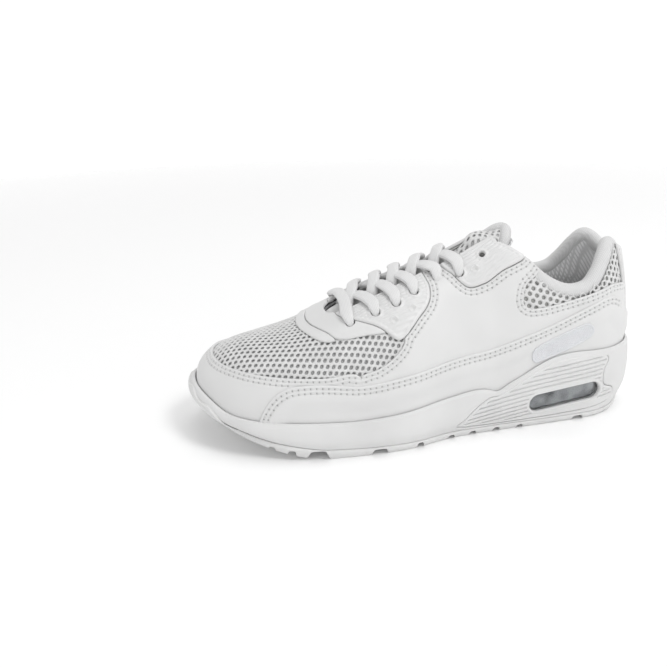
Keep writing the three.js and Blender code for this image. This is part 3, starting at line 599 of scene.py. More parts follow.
def find_holes(sheet, rows, name, allowed):
    """Needle holes: for each row, lists of (spots, normals) along the field's line."""
    for row in rows:
        sheet.split(name, row, snap=0.02)
    found = []
    for row in rows:
        for line in chains(sheet, name, row):
            ok = allowed({k: v[line] for k, v in sheet.f.items()})
            turns = np.flatnonzero(np.diff(np.concatenate([[0], ok, [0]])))
            for start, end in zip(turns[::2], turns[1::2]):
                part = line[start:end]
                if len(part) > 2 and run_along(sheet.p[part])[-1] > SHORTEST_ROW:
                    found.append(even_spots(sheet.p[part], sheet.n[part], STITCH))
    return found


def thread_mesh(runs, height, radius=0.34):
    """Short bent threads from needle hole to needle hole."""
    points, faces, start = [], [], 0
    profile = [(0.10, -0.42, 0.6), (0.15, 0.02, 0.95), (0.32, 0.17, 1), (0.5, 0.21, 1), (0.68, 0.17, 1),
               (0.85, 0.02, 0.95), (0.90, -0.42, 0.6)]
    ring = np.arange(6) * np.pi / 3
    last = (len(profile) - 1) * 6
    for spots, normals in runs:
        for a, b, na, nb in zip(spots[:-1], spots[1:], normals[:-1], normals[1:]):
            lift = height(a, b)
            n = unit(na + nb)
            side = np.cross(n, unit(b - a))
            for share, rise, width in profile:
                centre = a + (b - a) * share + n * (lift + rise)
                for angle in ring:
                    points.append(centre + side * math.cos(angle) * radius * width
                                  + n * math.sin(angle) * radius * width * 0.8)
            for p in range(start, start + last, 6):
                faces += [(p + k, p + (k + 1) % 6, p + 6 + (k + 1) % 6, p + 6 + k) for k in range(6)]
            end = start + last
            faces += [(start + 3, start + 2, start + 1, start), (start, start + 5, start + 4, start + 3),
                      (end, end + 1, end + 2, end + 3), (end + 3, end + 4, end + 5, end)]
            start = end + 6
    return np.array(points), np.array(faces)


def gap_to_holes(points, runs):
    tree = tree_of(np.vstack([spots for spots, _ in runs]))
    return np.array([tree.find(p)[2] for p in points])


def rings_mesh(rings):
    """Quads between rings of equal length; the ends are closed with a fan."""
    count = len(rings[0])
    points = np.vstack(rings)
    size = len(points)
    points = np.vstack([points, points[:count].mean(0), points[-count:].mean(0)])
    k = np.arange(count)
    m = (k + 1) % count
    faces = [np.stack([r * count + k, r * count + m, (r + 1) * count + m, (r + 1) * count + k], 1)
             for r in range(len(rings) - 1)]
    base = (len(rings) - 1) * count
    faces.append(np.stack([np.full(count, size), m, k], 1))
    faces.append(np.stack([np.full(count, size + 1), base + k, base + m], 1))
    return points, faces


def ring_shape(count, wide_power=1.0, tall_power=1.0):
    """Cosines and sines round a ring; powers under 1 make it squarer."""
    angles = np.linspace(0, 2 * np.pi, count, endpoint=False)
    c, s = np.cos(angles), np.sin(angles)
    return np.sign(c) * np.abs(c) ** wide_power, np.sign(s) * np.abs(s) ** tall_power


def closing_ends(count, steps, least):
    """Shares of the full width along a tube that closes roundly at both ends."""
    i = np.arange(count)
    t = 1 - np.minimum(np.minimum(i, count - 1 - i) / steps, 1)
    return np.sqrt(1 - t * t) * (1 - least) + least


def swept(line, side, up, shape, wide, tall):
    """The mesh of a ring shape that runs along a line, with its half widths and heights."""
    c, s = shape
    return rings_mesh([line[i] + side[i] * (c * wide[i])[:, None] + up[i] * (s * tall[i])[:, None]
                       for i in range(len(line))])


# ---- base sheets -----------------------------------------------------------------

def grid_sheet(us, levels):
    """The foot shape over a grid; its two sides are joined at the toe, the ridge and the heel."""
    uu, ll = np.meshgrid(us, levels, indexing="ij")
    shape = uu.shape
    uu, ll = uu.ravel(), ll.ravel()
    points = skin(uu, ll)
    normals = skin_normal(uu, ll)
    first, index = welded(points, 200)
    a, b, c, d = grid_corners(index.reshape(shape))
    odd = (np.add.outer(np.arange(a.shape[0]), np.arange(a.shape[1])) % 2).astype(bool)[..., None]
    one = np.where(odd, np.stack([a, d, b], -1), np.stack([a, d, c], -1)).reshape(-1, 3)
    two = np.where(odd, np.stack([b, d, c], -1), np.stack([a, c, b], -1)).reshape(-1, 3)
    u, level = uu[first], ll[first]
    rim = (level < -0.999).astype(float)
    triangles = whole(np.vstack([one, two]))
    return Sheet(points[first], normals[first], triangles, u=np.abs(u), level=level, rim=rim)


def even_levels(step):
    fine = np.linspace(0, 1, 500)
    run = np.mean([run_along(skin(np.full(500, -u), fine)) for u in (0.25, 0.4, 0.55, 0.7, 0.85)], 0)
    count = int(run[-1] / step)
    return np.interp(np.linspace(0, run[-1], count + 1), run, fine)


def upper_sheet(step):
    half = np.linspace(0, 1, int(AROUND / step))
    us = np.concatenate([-half[::-1], half[1:]])
    return grid_sheet(us, np.concatenate([[-1, -0.6, -0.3], even_levels(step)]))


UPPER = upper_sheet(1.15)
UPPER_TREE = BVHTree.FromPolygons([tuple(p) for p in UPPER.p], [tuple(t) for t in UPPER.t])


def above(x, y):
    """The foot shape's point and normal straight above a spot of the plan."""
    hit, _, face, _ = UPPER_TREE.ray_cast(Vector((x, y, 400)), Vector((0, 0, -1)))
    if hit is None:
        hit, _, face, _ = UPPER_TREE.find_nearest(Vector((x, y, 60)))
    corners = UPPER.t[face]
    spots = UPPER.p[corners]
    weight = np.linalg.lstsq(np.vstack([spots.T, np.ones(3)]), np.append(np.array(hit), 1), rcond=None)[0]
    return np.array(hit), unit((UPPER.n[corners] * weight[:, None]).sum(0))


def across(x, distance, side):
    return -distance if side < 0 else distance * float(across_share(x))


def from_side(polygon, sheet):
    return inside(polygon, sheet.p[:, 0], sheet.p[:, 2])


def lateral_distance(sheet):
    """Distance from the middle, as it would be on the lateral side."""
    x, y = sheet.p[:, 0], sheet.p[:, 1]
    return np.where(y < 0, -y, y / across_share(x))


def from_above(polygon, sheet):
    return inside(polygon, sheet.p[:, 0], lateral_distance(sheet))


def mirrored(half):
    return list(half) + [(x, -d) for x, d in half[::-1]]


def top_line_stretch(x):
    """How much longer the collar's edge is than its plan at x."""
    return np.hypot(1, (top_line(x + 1.5) - top_line(x - 1.5)) / 3)


def below_top_line(sheet):
    """Distance below the collar's edge, negative above it."""
    x, z = sheet.p[:, 0], sheet.p[:, 2]
    return np.where(x < 44, 60.0, (top_line(x) - z) / top_line_stretch(x))


# ---- materials ---------------------------------------------------------------------

SHOE_WHITE = (0.68, 0.68, 0.678)


def grey(level):
    return (level, level, level)


def darker(colour, share):
    return tuple(c * share for c in colour)


def new_paint(name, colour, roughness, **sockets):
    paint = bpy.data.materials.new(name)
    paint.use_nodes = True
    shader = paint.node_tree.nodes["Principled BSDF"]
    shader.inputs["Base Color"].default_value = (*colour, 1)
    shader.inputs["Roughness"].default_value = roughness
    for key, value in sockets.items():
        shader.inputs[key.replace("_", " ")].default_value = value
    return paint, paint.node_tree, shader


def node(tree, kind, links=None, **settings):
    made = tree.nodes.new(kind)
    for key, value in settings.items():
        if key in made.inputs:
            made.inputs[key].default_value = value
        else:
            setattr(made, key, value)
    for key, source in (links or {}).items():
        tree.links.new(source, made.inputs[key])
    return made


def spot_of(tree):
    return node(tree, "ShaderNodeTexCoord").outputs["Object"]


def grain(tree, size, detail=3.0):
    """Noise with features of a size in millimetres."""
    noise = node(tree, "ShaderNodeTexNoise", {"Vector": spot_of(tree)}, Scale=1000 / size, Detail=detail)
    return noise.outputs["Fac"]


def tint(tree, shader, colour, other, factor):
    """Mixes two colours into the base colour."""
    mix = node(tree, "ShaderNodeMix", data_type="RGBA")
    mix.inputs[6].default_value = (*colour, 1)
    mix.inputs[7].default_value = (*other, 1)
    tree.links.new(factor, mix.inputs[0])
    tree.links.new(mix.outputs[2], shader.inputs["Base Color"])


def spread(tree, source, low, high, out_low, out_high):
    made = node(tree, "ShaderNodeMapRange", {"Value": source})
    for i, value in enumerate((low, high, out_low, out_high), 1):
        made.inputs[i].default_value = value
    return made.outputs[0]


def mottled(tree, shader, colour, share, size, low=0.3, high=0.7):
    """Broad unevenness of the base colour, down to a share of it."""
    tint(tree, shader, colour, darker(colour, share), spread(tree, grain(tree, size, 2.0), low, high, 0, 1))


def bump(tree, shader, source, strength, distance):
    made = node(tree, "ShaderNodeBump", {"Height": source}, Strength=strength, Distance=distance * MM)
    tree.links.new(made.outputs["Normal"], shader.inputs["Normal"])


def rough(tree, shader, source, low, high):
    tree.links.new(spread(tree, source, 0.3, 0.7, low, high), shader.inputs["Roughness"])


def wave_texture(tree, vector, pitch, distortion, detail):
    """Waves of a pitch in millimetres."""
    return node(tree, "ShaderNodeTexWave", {"Vector": vector}, Scale=1000 / pitch / 3.1,
                Distortion=distortion, Detail=detail)


def maths(tree, operation, a, b=None):
    made = node(tree, "ShaderNodeMath", operation=operation)
    for i, value in enumerate([a] if b is None else [a, b]):
        if isinstance(value, (int, float)):
            made.inputs[i].default_value = value
        else:
            tree.links.new(value, made.inputs[i])
    return made.outputs[0]


def attribute(tree, name):
    return node(tree, "ShaderNodeAttribute", attribute_name=name).outputs["Fac"]


def leather_paint(name, colour, strength=0.25):
    paint, tree, shader = new_paint(name, colour, 0.5)
    pebble = 0.9
    cells = node(tree, "ShaderNodeTexVoronoi", {"Vector": spot_of(tree)}, feature="DISTANCE_TO_EDGE",
                 Scale=1000 / pebble)
    fine = grain(tree, 0.5)
    height = maths(tree, "ADD", maths(tree, "MULTIPLY", cells.outputs["Distance"], 0.8), fine)
    bump(tree, shader, height, strength, 0.12)
    # The needle holes' field darkens the colour there: painted shade in the holes. The broad stain is tone
    # that differs at random.
    pit = maths(tree, "MULTIPLY", attribute(tree, "pit"), 0.9)
    stain = spread(tree, grain(tree, 26, 2.0), 0.35, 0.75, 0.0, 0.056)
    tint(tree, shader, colour, darker(colour, 0.42), maths(tree, "MAXIMUM", pit, stain))
    rough(tree, shader, fine, 0.42, 0.56)
    return paint


def moulded_paint(name, colour, roughness, grain_size, strength):
    paint, tree, shader = new_paint(name, colour, roughness)
    fine = grain(tree, grain_size)
    bump(tree, shader, fine, strength, 0.15)
    mottled(tree, shader, colour, 0.93, 30, 0.35)
    rough(tree, shader, fine, roughness - 0.06, roughness + 0.08)
    return paint


def knit_paint(name, colour, pitch, dark=0.72, strength=0.6):
    """Fine knit: two crossing sets of ribs."""
    paint, tree, shader = new_paint(name, colour, 0.9, Sheen_Weight=0.15)
    place = spot_of(tree)
    ribs = []
    for turn in (0.62, -0.62):
        turned = node(tree, "ShaderNodeMapping", {"Vector": place}, Rotation=(turn, 0.5 * turn, turn))
        ribs.append(wave_texture(tree, turned.outputs["Vector"], pitch, 1.0, 1.0).outputs["Fac"])
    weave = maths(tree, "MULTIPLY", *ribs)
    bump(tree, shader, weave, strength, 0.3)
    tint(tree, shader, darker(colour, dark), colour, spread(tree, weave, 0.0, 0.5, 0, 1))
    return paint


def yarn_paint(name, colour, pitch=0.45):
    paint, tree, shader = new_paint(name, colour, 0.85, Sheen_Weight=0.2)
    wave = wave_texture(tree, spot_of(tree), pitch, 3.0, 2.0)
    wave.inputs["Detail Scale"].default_value = 2.0
    bump(tree, shader, wave.outputs["Fac"], 0.35, 0.12)
    mottled(tree, shader, colour, 0.9, 8)
    return paint


def braid_paint(name, colour):
    """Flat braid: chevrons along the lace, from its own lengthwise and crosswise fields."""
    paint, tree, shader = new_paint(name, colour, 0.8, Sheen_Weight=0.25)
    along, side = attribute(tree, "along"), attribute(tree, "aside")
    slant = maths(tree, "ADD", along, maths(tree, "MULTIPLY", maths(tree, "ABSOLUTE", side), 0.9))
    chevron = maths(tree, "SINE", maths(tree, "MULTIPLY", slant, 2 * math.pi / 0.95))
    cords = maths(tree, "SINE", maths(tree, "MULTIPLY", side, 2 * math.pi / 0.9))
    height = maths(tree, "ADD", maths(tree, "MULTIPLY", chevron, 0.6), cords)
    bump(tree, shader, height, 0.35, 0.14)
    tint(tree, shader, darker(colour, 0.88), colour, spread(tree, height, -1.2, 0.4, 0, 1))
    return paint


def ribbed_paint(name, colour):
    paint, tree, shader = new_paint(name, colour, 0.38)
    bump(tree, shader, grain(tree, 0.7), 0.12, 0.1)
    mottled(tree, shader, colour, 0.94, 15)
    return paint


def film_paint():
    paint, tree, shader = new_paint("clear_film", (0.9, 0.92, 0.93), 0.06, Transmission_Weight=1.0, IOR=1.35)
    bump(tree, shader, grain(tree, 9, 2.0), 0.2, 0.4)
    return paint


def chamber_paint():
    """The metallic grey inside of the heel's cushion."""
    paint, tree, shader = new_paint("cushion_inside", grey(0.3), 0.3, Metallic=0.75)
    broad = grain(tree, 14, 2.0)
    bump(tree, shader, broad, 0.5, 1.5)
    tint(tree, shader, (0.07, 0.07, 0.072), (0.38, 0.38, 0.385), spread(tree, broad, 0.35, 0.65, 0, 1))
    return paint


LEATHER = leather_paint("coated_leather", SHOE_WHITE)
TONGUE_LEATHER = leather_paint("tongue_leather_finish", (0.66, 0.66, 0.658), 0.3)
MIDSOLE_FOAM = moulded_paint("midsole_foam", SHOE_WHITE, 0.55, 0.8, 0.12)
FRAME_PAINT = moulded_paint("window_frame_foam", SHOE_WHITE, 0.5, 0.6, 0.12)
TREAD = moulded_paint("tread_rubber", (0.67, 0.67, 0.666), 0.6, 0.5, 0.35)
BOARD = moulded_paint("fibre_board", (0.62, 0.58, 0.5), 0.9, 0.4, 0.6)
FOAM = moulded_paint("open_foam", (0.42, 0.42, 0.41), 0.95, 0.8, 0.8)
# The lining's colour is set lighter than its own tone: painted light for the dim inside of the shoe.
LINING_WITH_PAINTED_LIGHT = knit_paint("lining_knit", (0.92, 0.92, 0.925), 2.0)
# The lining under the vamp's mesh is painted dark grey: painted shade seen through the mesh's holes.
UNDER_MESH_PAINTED_SHADE = knit_paint("lining_under_mesh_painted_shade", (0.56, 0.56, 0.565), 1.0)
COLLAR_KNIT = knit_paint("collar_knit", grey(0.68), 1.0, 0.86, 0.4)
TONGUE_CORE = knit_paint("tongue_core_cloth", grey(0.64), 0.9)
INSOLE_CLOTH = knit_paint("insole_cloth", grey(0.8), 1.1)
YARN = yarn_paint("mesh_yarn", (0.69, 0.69, 0.687))
THREAD = yarn_paint("sewing_thread", (0.69, 0.69, 0.687), 0.3)
BRAID = braid_paint("lace_braid", grey(0.73))
RIBBED = ribbed_paint("ribbed_plastic", SHOE_WHITE)
BADGE = ribbed_paint("badge_plastic", (0.66, 0.668, 0.69))
FILM = film_paint()
CHAMBER = chamber_paint()


# ---- upper: outlines seen from the side (x, z) and from above (x, distance) -----------

FOXING = [(-107, 12), (-106, 22), (-103, 30.5), (-98.5, 37.2), (-94, 41), (-88, 43.8), (-78, 45),
          (-68, 45), (-48, 43.4), (-38, 44), (-27, 45.5), (-12, 47.6), (19, 52), (34, 54), (48, 57.7),
          (74, 66), (96, 74.2), (107, 78.2), (113, 79), (118, 77.5), (123, 73.5), (133, 63),
          (150, 58), (150, 12)]
MUDGUARD = [(-170, -10), (-170, 50), (-150, 50.3), (-129, 50.2), (-107, 48.9), (-68, 48.3),
            (-47.9, 48.3), (-47.9, -10)]
QUARTER = [(-47.9, 12), (-47.9, 30), (-47.9, 47.7), (-46, 49.2), (-37, 51.6), (-26, 58.4), (-20.5, 65),
           (-21, 69), (-24, 74), (-24, 160), (150, 160), (150, 12)]
COLLAR_PANEL = [(66, 99), (57, 90), (54.8, 82), (55.6, 78.5), (59, 76.4), (67, 76.4), (79, 78),
                (92, 80.4), (106, 83.6), (116, 85.7), (150, 84), (150, 150), (66, 150)]
HEEL_TAB = [(119.5, 118), (120.4, 106.5), (123.2, 97), (126.2, 83), (127.6, 70), (128.5, 50),
            (160, 50), (160, 118)]
VAMP = [(-170, 44.2), (-90, 42.5), (-49, 42), (-38, 45), (-27, 52), (-16, 62), (-14, 70), (-14, 160),
        (-170, 160)]
TOE_PUFF = [(-170, 12), (-170, 43.9), (-90, 42.2), (-90, 12)]
BADGE_OUTLINE = [(61, 50.5), (61.3, 45), (63.3, 42.7), (67.5, 43.4), (98.5, 54.8), (101.6, 58),
                 (100.6, 62.3), (96.6, 64.7), (93, 64.3), (64, 53.6)]
THROAT_SLOT = [(-59, 0), (-58, 7), (-53, 12), (-40, 14.5), (-21, 14), (-10, 12.5), (5, 10.5),
               (19, 9.5), (34, 8), (46, 8.5), (54, 12), (64, 18), (90, 18), (90, 0)]
LOWER_EYESTAY = [(-54, 10), (-52.5, 19), (-43.5, 27.5), (-34, 33.5), (-24.6, 39.2), (-20, 38.6),
                 (-15, 36.3), (-10, 33.2), (-5, 30), (-1.8, 26.6), (-0.4, 22), (-1, 17), (-3.5, 9)]
UPPER_EYESTAY = [(9.5, 8), (11, 13.5), (15, 18), (18, 21.5), (22.5, 24.4), (30, 25.2), (42.7, 24.6),
                 (52, 24.4), (57.5, 23.4), (56, 20), (52, 15), (46, 7), (30, 6)]
THROAT_PIECE = [(-70.8, 0), (-69.8, 9), (-66.6, 18), (-62.5, 25), (-59, 30.5), (-54, 33),
                (-42.6, 34.8), (-29.6, 36.3), (-20, 36), (-20, 0)]
THROAT_STRIP = [(-77, 0), (-76, 9), (-73.2, 18), (-70, 24.5), (-65, 29.8), (-59.3, 31.5),
                (-62.8, 25), (-66.9, 18), (-70.1, 9), (-71.1, 0)]
EYELETS = [(-49, 26), (-34, 26.5), (-21.5, 25.5), (-10, 22.3), (5.5, 18.3), (19, 18.6), (34.3, 15.4)]
DIMPLES = {"lower": [(-13.3, 30), (-24.8, 32.8)], "upper": [(28.3, 19.7)]}

FROM_SIDE = {"foxing": FOXING, "mudguard": MUDGUARD, "quarter": QUARTER, "collar": COLLAR_PANEL,
             "tab": HEEL_TAB, "badge": BADGE_OUTLINE}
FROM_ABOVE = {"slot": mirrored(THROAT_SLOT), "lower": LOWER_EYESTAY, "upper": UPPER_EYESTAY,
              "throat": mirrored(THROAT_PIECE), "strip": mirrored(THROAT_STRIP)}

EYELET_SPOTS = {side: [above(x, across(x, d, side)) for x, d in EYELETS] for side in (LATERAL, MEDIAL)}


# The holes that the lace uses on each side; the one above them is smaller.
LACED = 6
EYELET_RADIUS, TOP_EYELET_RADIUS = 2.5, 1.75
FAR_AWAY = 30.0


def eyelet_field(sheet):
    """Distance outside the nearest eyelet, negative in the hole."""
    best = np.full(len(sheet.p), FAR_AWAY)
    for spots in EYELET_SPOTS.values():
        for index, (spot, normal) in enumerate(spots):
            gap = sheet.p - spot
            near = np.linalg.norm(gap, axis=1) < 12
            gap = gap - normal * (gap @ normal)[:, None]
            size = TOP_EYELET_RADIUS if index == LACED else EYELET_RADIUS
            best = np.minimum(best, np.where(near, np.linalg.norm(gap, axis=1) - size, FAR_AWAY))
    return best


def put_fields(sheet):
    """Signed distances to every panel's outline, positive inside."""
    f = sheet.f
    for name, outline in FROM_SIDE.items():
        f[name] = from_side(rounded(outline), sheet)
    for name, outline in FROM_ABOVE.items():
        f[name] = np.where(f["level"] > 0.3, from_above(rounded(outline), sheet), -FAR_AWAY)
    f["vamp"] = from_side(VAMP, sheet)
    f["puff"] = from_side(TOE_PUFF, sheet)
    f["x"], f["y"], f["z"] = sheet.p.T
    f["hole"] = eyelet_field(sheet)
    f["edge_line"] = below_top_line(sheet)


put_fields(UPPER)


# ---- upper: leather panels --------------------------------------------------------------

HIDDEN = 7.0


def foxing_lift(distance):
    """How far the foxing's inner face is lifted where it lies on the panels it is sewn to."""
    return 0.1 + 1.4 * (1 - smooth_step(HIDDEN + 0.5, HIDDEN + 9, distance))


def clipped(base, value):
    """The part of a sheet where a field is positive, cut along its zero line."""
    sheet = base.copy()
    sheet.f = dict(base.f, cut=value)
    sheet.only((value[sheet.t] > -2.5).any(1))
    sheet.split("cut")
    return sheet.keep("cut")


def sewn_panel(name, value, rows=(), sewn=None, shown=None, low=0.1, thickness=1.4, seed=1, ripple=0.12):
    """A leather panel with rolled edges, sunken rows of needle holes darkened with painted shade, and its
    thread.
    """
    sheet = clipped(UPPER, value).edge_steps(0.08, 0.28, 0.75)
    runs = []
    if rows:
        sheet.measure("row", sewn)
        runs = find_holes(sheet, rows, "row", shown)
        for reach in (0.95, 0.8):
            near = np.min([np.abs(sheet.f["row"] - row) for row in rows], 0) < reach
            sheet.refine(near[sheet.t].any(1))
    lows = low(sheet) if callable(low) else np.full(len(sheet.p), float(low))
    edge = sheet.f["edge"]
    high = lows + round_edge(edge, thickness, 0.8)
    high += smooth_step(0.5, 6, edge) * ripple * waves(sheet.p, 21, seed)
    pit = np.zeros(len(sheet.p))
    if runs:
        gap = gap_to_holes(sheet.p, runs)
        # Near each needle hole: the hole is sunk, and the leather's paint darkens it as painted shade.
        pit = np.exp(-(gap / 0.5) ** 2)
        sunk = sum(np.exp(-((sheet.f["row"] - row) / 0.75) ** 2) for row in rows)
        high -= 0.26 * sunk * (gap < STITCH) + 0.5 * pit
    points, triangles = solid_between(sheet, lows, high)
    add_piece(name, points, triangles, LEATHER, "shoe", [name], "white_leather",
              pit=np.concatenate([pit, 0 * pit]))
    if runs:
        def lift(a, b):
            base = lows[np.argmin(((sheet.p - (a + b) / 2) ** 2).sum(1))] if callable(low) else low
            return base + thickness - 0.34
        points, faces = thread_mesh(runs, lift)
        add_piece("thread_" + name, points, faces, THREAD, "shoe", (), "white_leather")


def side_of(f, side):
    return f["y"] * side - 0.15


def minimum(*values):
    return np.min(np.broadcast_arrays(*values), 0)


def soft_corner(a, b, radius=8.0):
    """Inside both edges, with the corner between them rounded."""
    corner = radius - np.hypot(radius - a, radius - b)
    return np.where((a < radius) & (b < radius), corner, minimum(a, b))


def build_panels():
    f = UPPER.f
    inside_edge = soft_corner(-f["slot"], f["edge_line"] - 1.2)
    above_foxing = HIDDEN - f["foxing"]
    gap = 0.2
    for side, word in SIDES:
        half = side_of(f, side)
        sewn_panel(f"foxing_{word}", minimum(f["foxing"], half), (2.0, 4.4),
                   sewn=lambda h: np.abs(h["foxing"]) < 0.5,
                   shown=lambda h: (h["x"] < 119) | (h["x"] > 134),
                   low=lambda s: foxing_lift(s.f["foxing"]), seed=11 + side)
        sewn_panel(f"quarter_{word}",
                   minimum(f["quarter"], above_foxing, 2 - f["tab"], -f["collar"], -f["lower"] - gap,
                           -f["upper"] - gap, -f["throat"] - gap, inside_edge, half), (1.7, 4.1),
                   sewn=lambda h: (h["foxing"] < HIDDEN - 0.7) & (h["edge_line"] > 2) & (h["tab"] < 1)
                   & (h["slot"] < -0.5) & ((h["x"] > -46.5) | (h["z"] > 48.9)) & (np.abs(h["y"]) > 1),
                   shown=lambda h: (h["foxing"] < -1) & (h["edge_line"] > 2.6) & (h["tab"] < -1.5)
                   & (h["slot"] < -1.5), seed=21 + side, ripple=0.2)
    sewn_panel("toe_mudguard", minimum(f["mudguard"], above_foxing), (2.0, 4.4),
               sewn=lambda h: (np.abs(h["mudguard"]) < 0.5) & (h["x"] < -48.6),
               shown=lambda h: (h["x"] < -50.5) & (h["foxing"] < -1), seed=5)
    sewn_panel("heel_tab", minimum(f["tab"], above_foxing, f["edge_line"] - 5.5), (1.6,),
               sewn=lambda h: (h["foxing"] < HIDDEN - 0.7) & (h["edge_line"] > 6.2),
               shown=lambda h: (h["foxing"] < -1) & (h["edge_line"] > 8), low=0.25, seed=31)
    sewn_panel("throat_piece", minimum(f["throat"], -f["slot"], -f["lower"] - gap, f["hole"]), low=0.2,
               seed=33)
    sewn_panel("throat_strip", minimum(f["strip"], -f["throat"] - 0.1), low=0.0, thickness=1.2, seed=34,
               ripple=0.05)


def build_eyestays():
    f = UPPER.f
    opening = soft_corner(-f["slot"], f["edge_line"] - 1.2)
    for side, word in SIDES:
        for part, lean in (("lower", 0.1), ("upper", 0.12)):
            sheet = clipped(UPPER, minimum(f[part], opening, f["hole"], side_of(f, side)))
            sheet.edge_steps(0.15, 0.5, 1.2).finer(2)
            ribs = 0.5 + 0.5 * np.cos(2 * np.pi * (lateral_distance(sheet) + lean * sheet.p[:, 0]) / 1.75)
            edge = sheet.f["edge"]
            high = 0.15 + round_edge(edge, 1.95, 1.3)
            high += 0.25 * smooth_step(1.5, 5, edge) - 0.36 * ribs * smooth_step(1.7, 2.6, edge)
            high += 0.3 * np.exp(-((sheet.f["hole"] - 0.7) / 0.6) ** 2)
            pit = np.zeros(len(edge))
            for dimple in DIMPLES[part]:
                spot, _ = above(dimple[0], across(*dimple, side))
                far = np.linalg.norm(sheet.p - spot, axis=1)
                high += -0.85 * np.exp(-(far / 1.15) ** 2) + 0.28 * np.exp(-((far - 2.1) / 0.55) ** 2)
                pit = np.maximum(pit, 0.6 * np.exp(-(far / 0.9) ** 2))
            points, triangles = solid_between(sheet, 0.15, high)
            name = f"eyestay_{part}_{word}"
            add_piece(name, points, triangles, RIBBED, "shoe", [name], "ribbed_plastic", sharp=60,
                      pit=np.concatenate([pit, 0 * pit]))


def build_badges():
    f = UPPER.f
    for side, word in SIDES:
        sheet = clipped(UPPER, minimum(f["badge"], side_of(f, side)))
        sheet.edge_steps(0.1, 0.35, 0.8, 1.6).finer(2)
        edge = sheet.f["edge"]
        slant = sheet.p[:, 0] * 0.93 - sheet.p[:, 2] * 0.36
        ribs = 0.5 + 0.5 * np.cos(2 * np.pi * slant / 1.5)
        base = foxing_lift(sheet.f["foxing"]) + 1.4
        high = base + round_edge(edge, 0.75, 0.6) - 0.3 * np.exp(-((edge - 1.5) / 0.35) ** 2)
        high -= 0.3 * ribs * smooth_step(1.8, 2.2, edge)
        points, triangles = solid_between(sheet, base - 0.5, high)
        name = f"badge_{word}"
        add_piece(name, points, triangles, BADGE, "shoe", [name], "ribbed_plastic", sharp=60)


# ---- open mesh: a knit with staggered round holes, as real openings ---------------------

def corner_of(a, b):
    """The point equally far from the origin and two lattice points."""
    m = 2 * np.array([a, b])
    return np.linalg.solve(m, np.array([a @ a, b @ b]))


def hole_cells(first, second, low, high, per_edge=2):
    """Lattice centres inside a range, and the outline of one cell with even steps."""
    first, second = np.array(first), np.array(second)
    third = second - first
    ways = [first, second, third, -first, -second, -third]
    corners = [corner_of(ways[k], ways[(k + 1) % 6]) for k in range(6)]
    outline = [corners[k - 1] + (corners[k] - corners[k - 1]) * s / per_edge
               for k in range(6) for s in range(per_edge)]
    basis = np.array([first, second]).T
    box = np.array([[low[0], low[0], high[0], high[0]], [low[1], high[1], low[1], high[1]]])
    i, j = (np.arange(math.floor(v.min()) - 1, math.ceil(v.max()) + 2) for v in np.linalg.inv(basis) @ box)
    ii, jj = np.meshgrid(i, j)
    centres = np.stack([ii.ravel(), jj.ravel()], 1) @ basis.T
    return centres[((centres > low) & (centres < high)).all(1)], np.array(outline)


def open_mesh(centres, outline, hole, locate, top, bottom):
    """Closed netting of cells round holes. locate turns chart spots into points and normals."""
    n, k = len(centres), len(outline)
    border = (centres[:, None] + outline[None]).reshape(-1, 2)
    first, index = welded(border, 500)
    index = index.reshape(n, k)
    shared = border[first]
    ring = unit(outline) * hole
    middle = outline * 0.42 + ring * 0.58
    rims = [(centres[:, None] + shape[None]).reshape(-1, 2) for shape in (middle, ring)]
    size, per = len(shared), n * k
    heights = np.repeat([top, top - 0.08, top - 0.42, bottom + 0.12, bottom], [size, per, per, per, size])
    points, normals, good = locate(np.vstack([shared, rims[0], rims[1], rims[1], shared]))
    points = points + normals * heights[:, None]
    good_cell = good[:size][index].all(1)
    shift = size + 3 * per
    b = size + np.arange(per).reshape(n, k)
    rows = [index, b, b + per, b + 2 * per, shift + index]
    faces = []
    for low, high in zip(rows[:-1], rows[1:]):
        low, high = low[good_cell], high[good_cell]
        faces.append(np.stack([low, np.roll(low, -1, 1), np.roll(high, -1, 1), high], -1).reshape(-1, 4))
    edge = np.stack([index, np.roll(index, -1, 1)], -1)[good_cell].reshape(-1, 2)
    i, j = unpaired(edge, len(points)).T
    faces.append(np.stack([j, i, i + shift, j + shift], 1))
    used, faces = compacted(np.vstack(faces), len(points))
    return points[used], faces


def chart_locator(sheet, chart):
    """Finds points and normals of a sheet from its flat chart."""
    tree = BVHTree.FromPolygons([(float(a), float(b), 0.0) for a, b in chart], [tuple(t) for t in sheet.t])

    def locate(spots):
        points, normals = np.zeros((2, len(spots), 3))
        good = np.zeros(len(spots), bool)
        for i, (a, b) in enumerate(spots):
            hit, _, face, gap = tree.find_nearest(Vector((a, b, 0)))
            corners = sheet.t[face]
            m = np.vstack([chart[corners].T, np.ones(3)])
            weight = np.linalg.solve(m + np.eye(3) * 1e-9, (hit.x, hit.y, 1))
            points[i] = weight @ sheet.p[corners]
            normals[i] = weight @ sheet.n[corners]
            good[i] = gap < 0.05
        return points, unit(normals), good
    return locate


def add_net(name, body, sheet, chart, steps, hole, margin=0.0, heights=(-0.1, -1.0), turned=False):
    """Netting over a sheet, with holes at the steps of a lattice in its chart."""
    centres, outline = hole_cells(*steps, chart.min(0) + margin, chart.max(0) - margin)
    points, faces = open_mesh(centres, outline, hole, chart_locator(sheet, chart), *heights)
    faces = faces[:, ::-1] if turned else faces
    add_piece(name, points, faces, YARN, body, [name], "open_mesh", sharp=70)


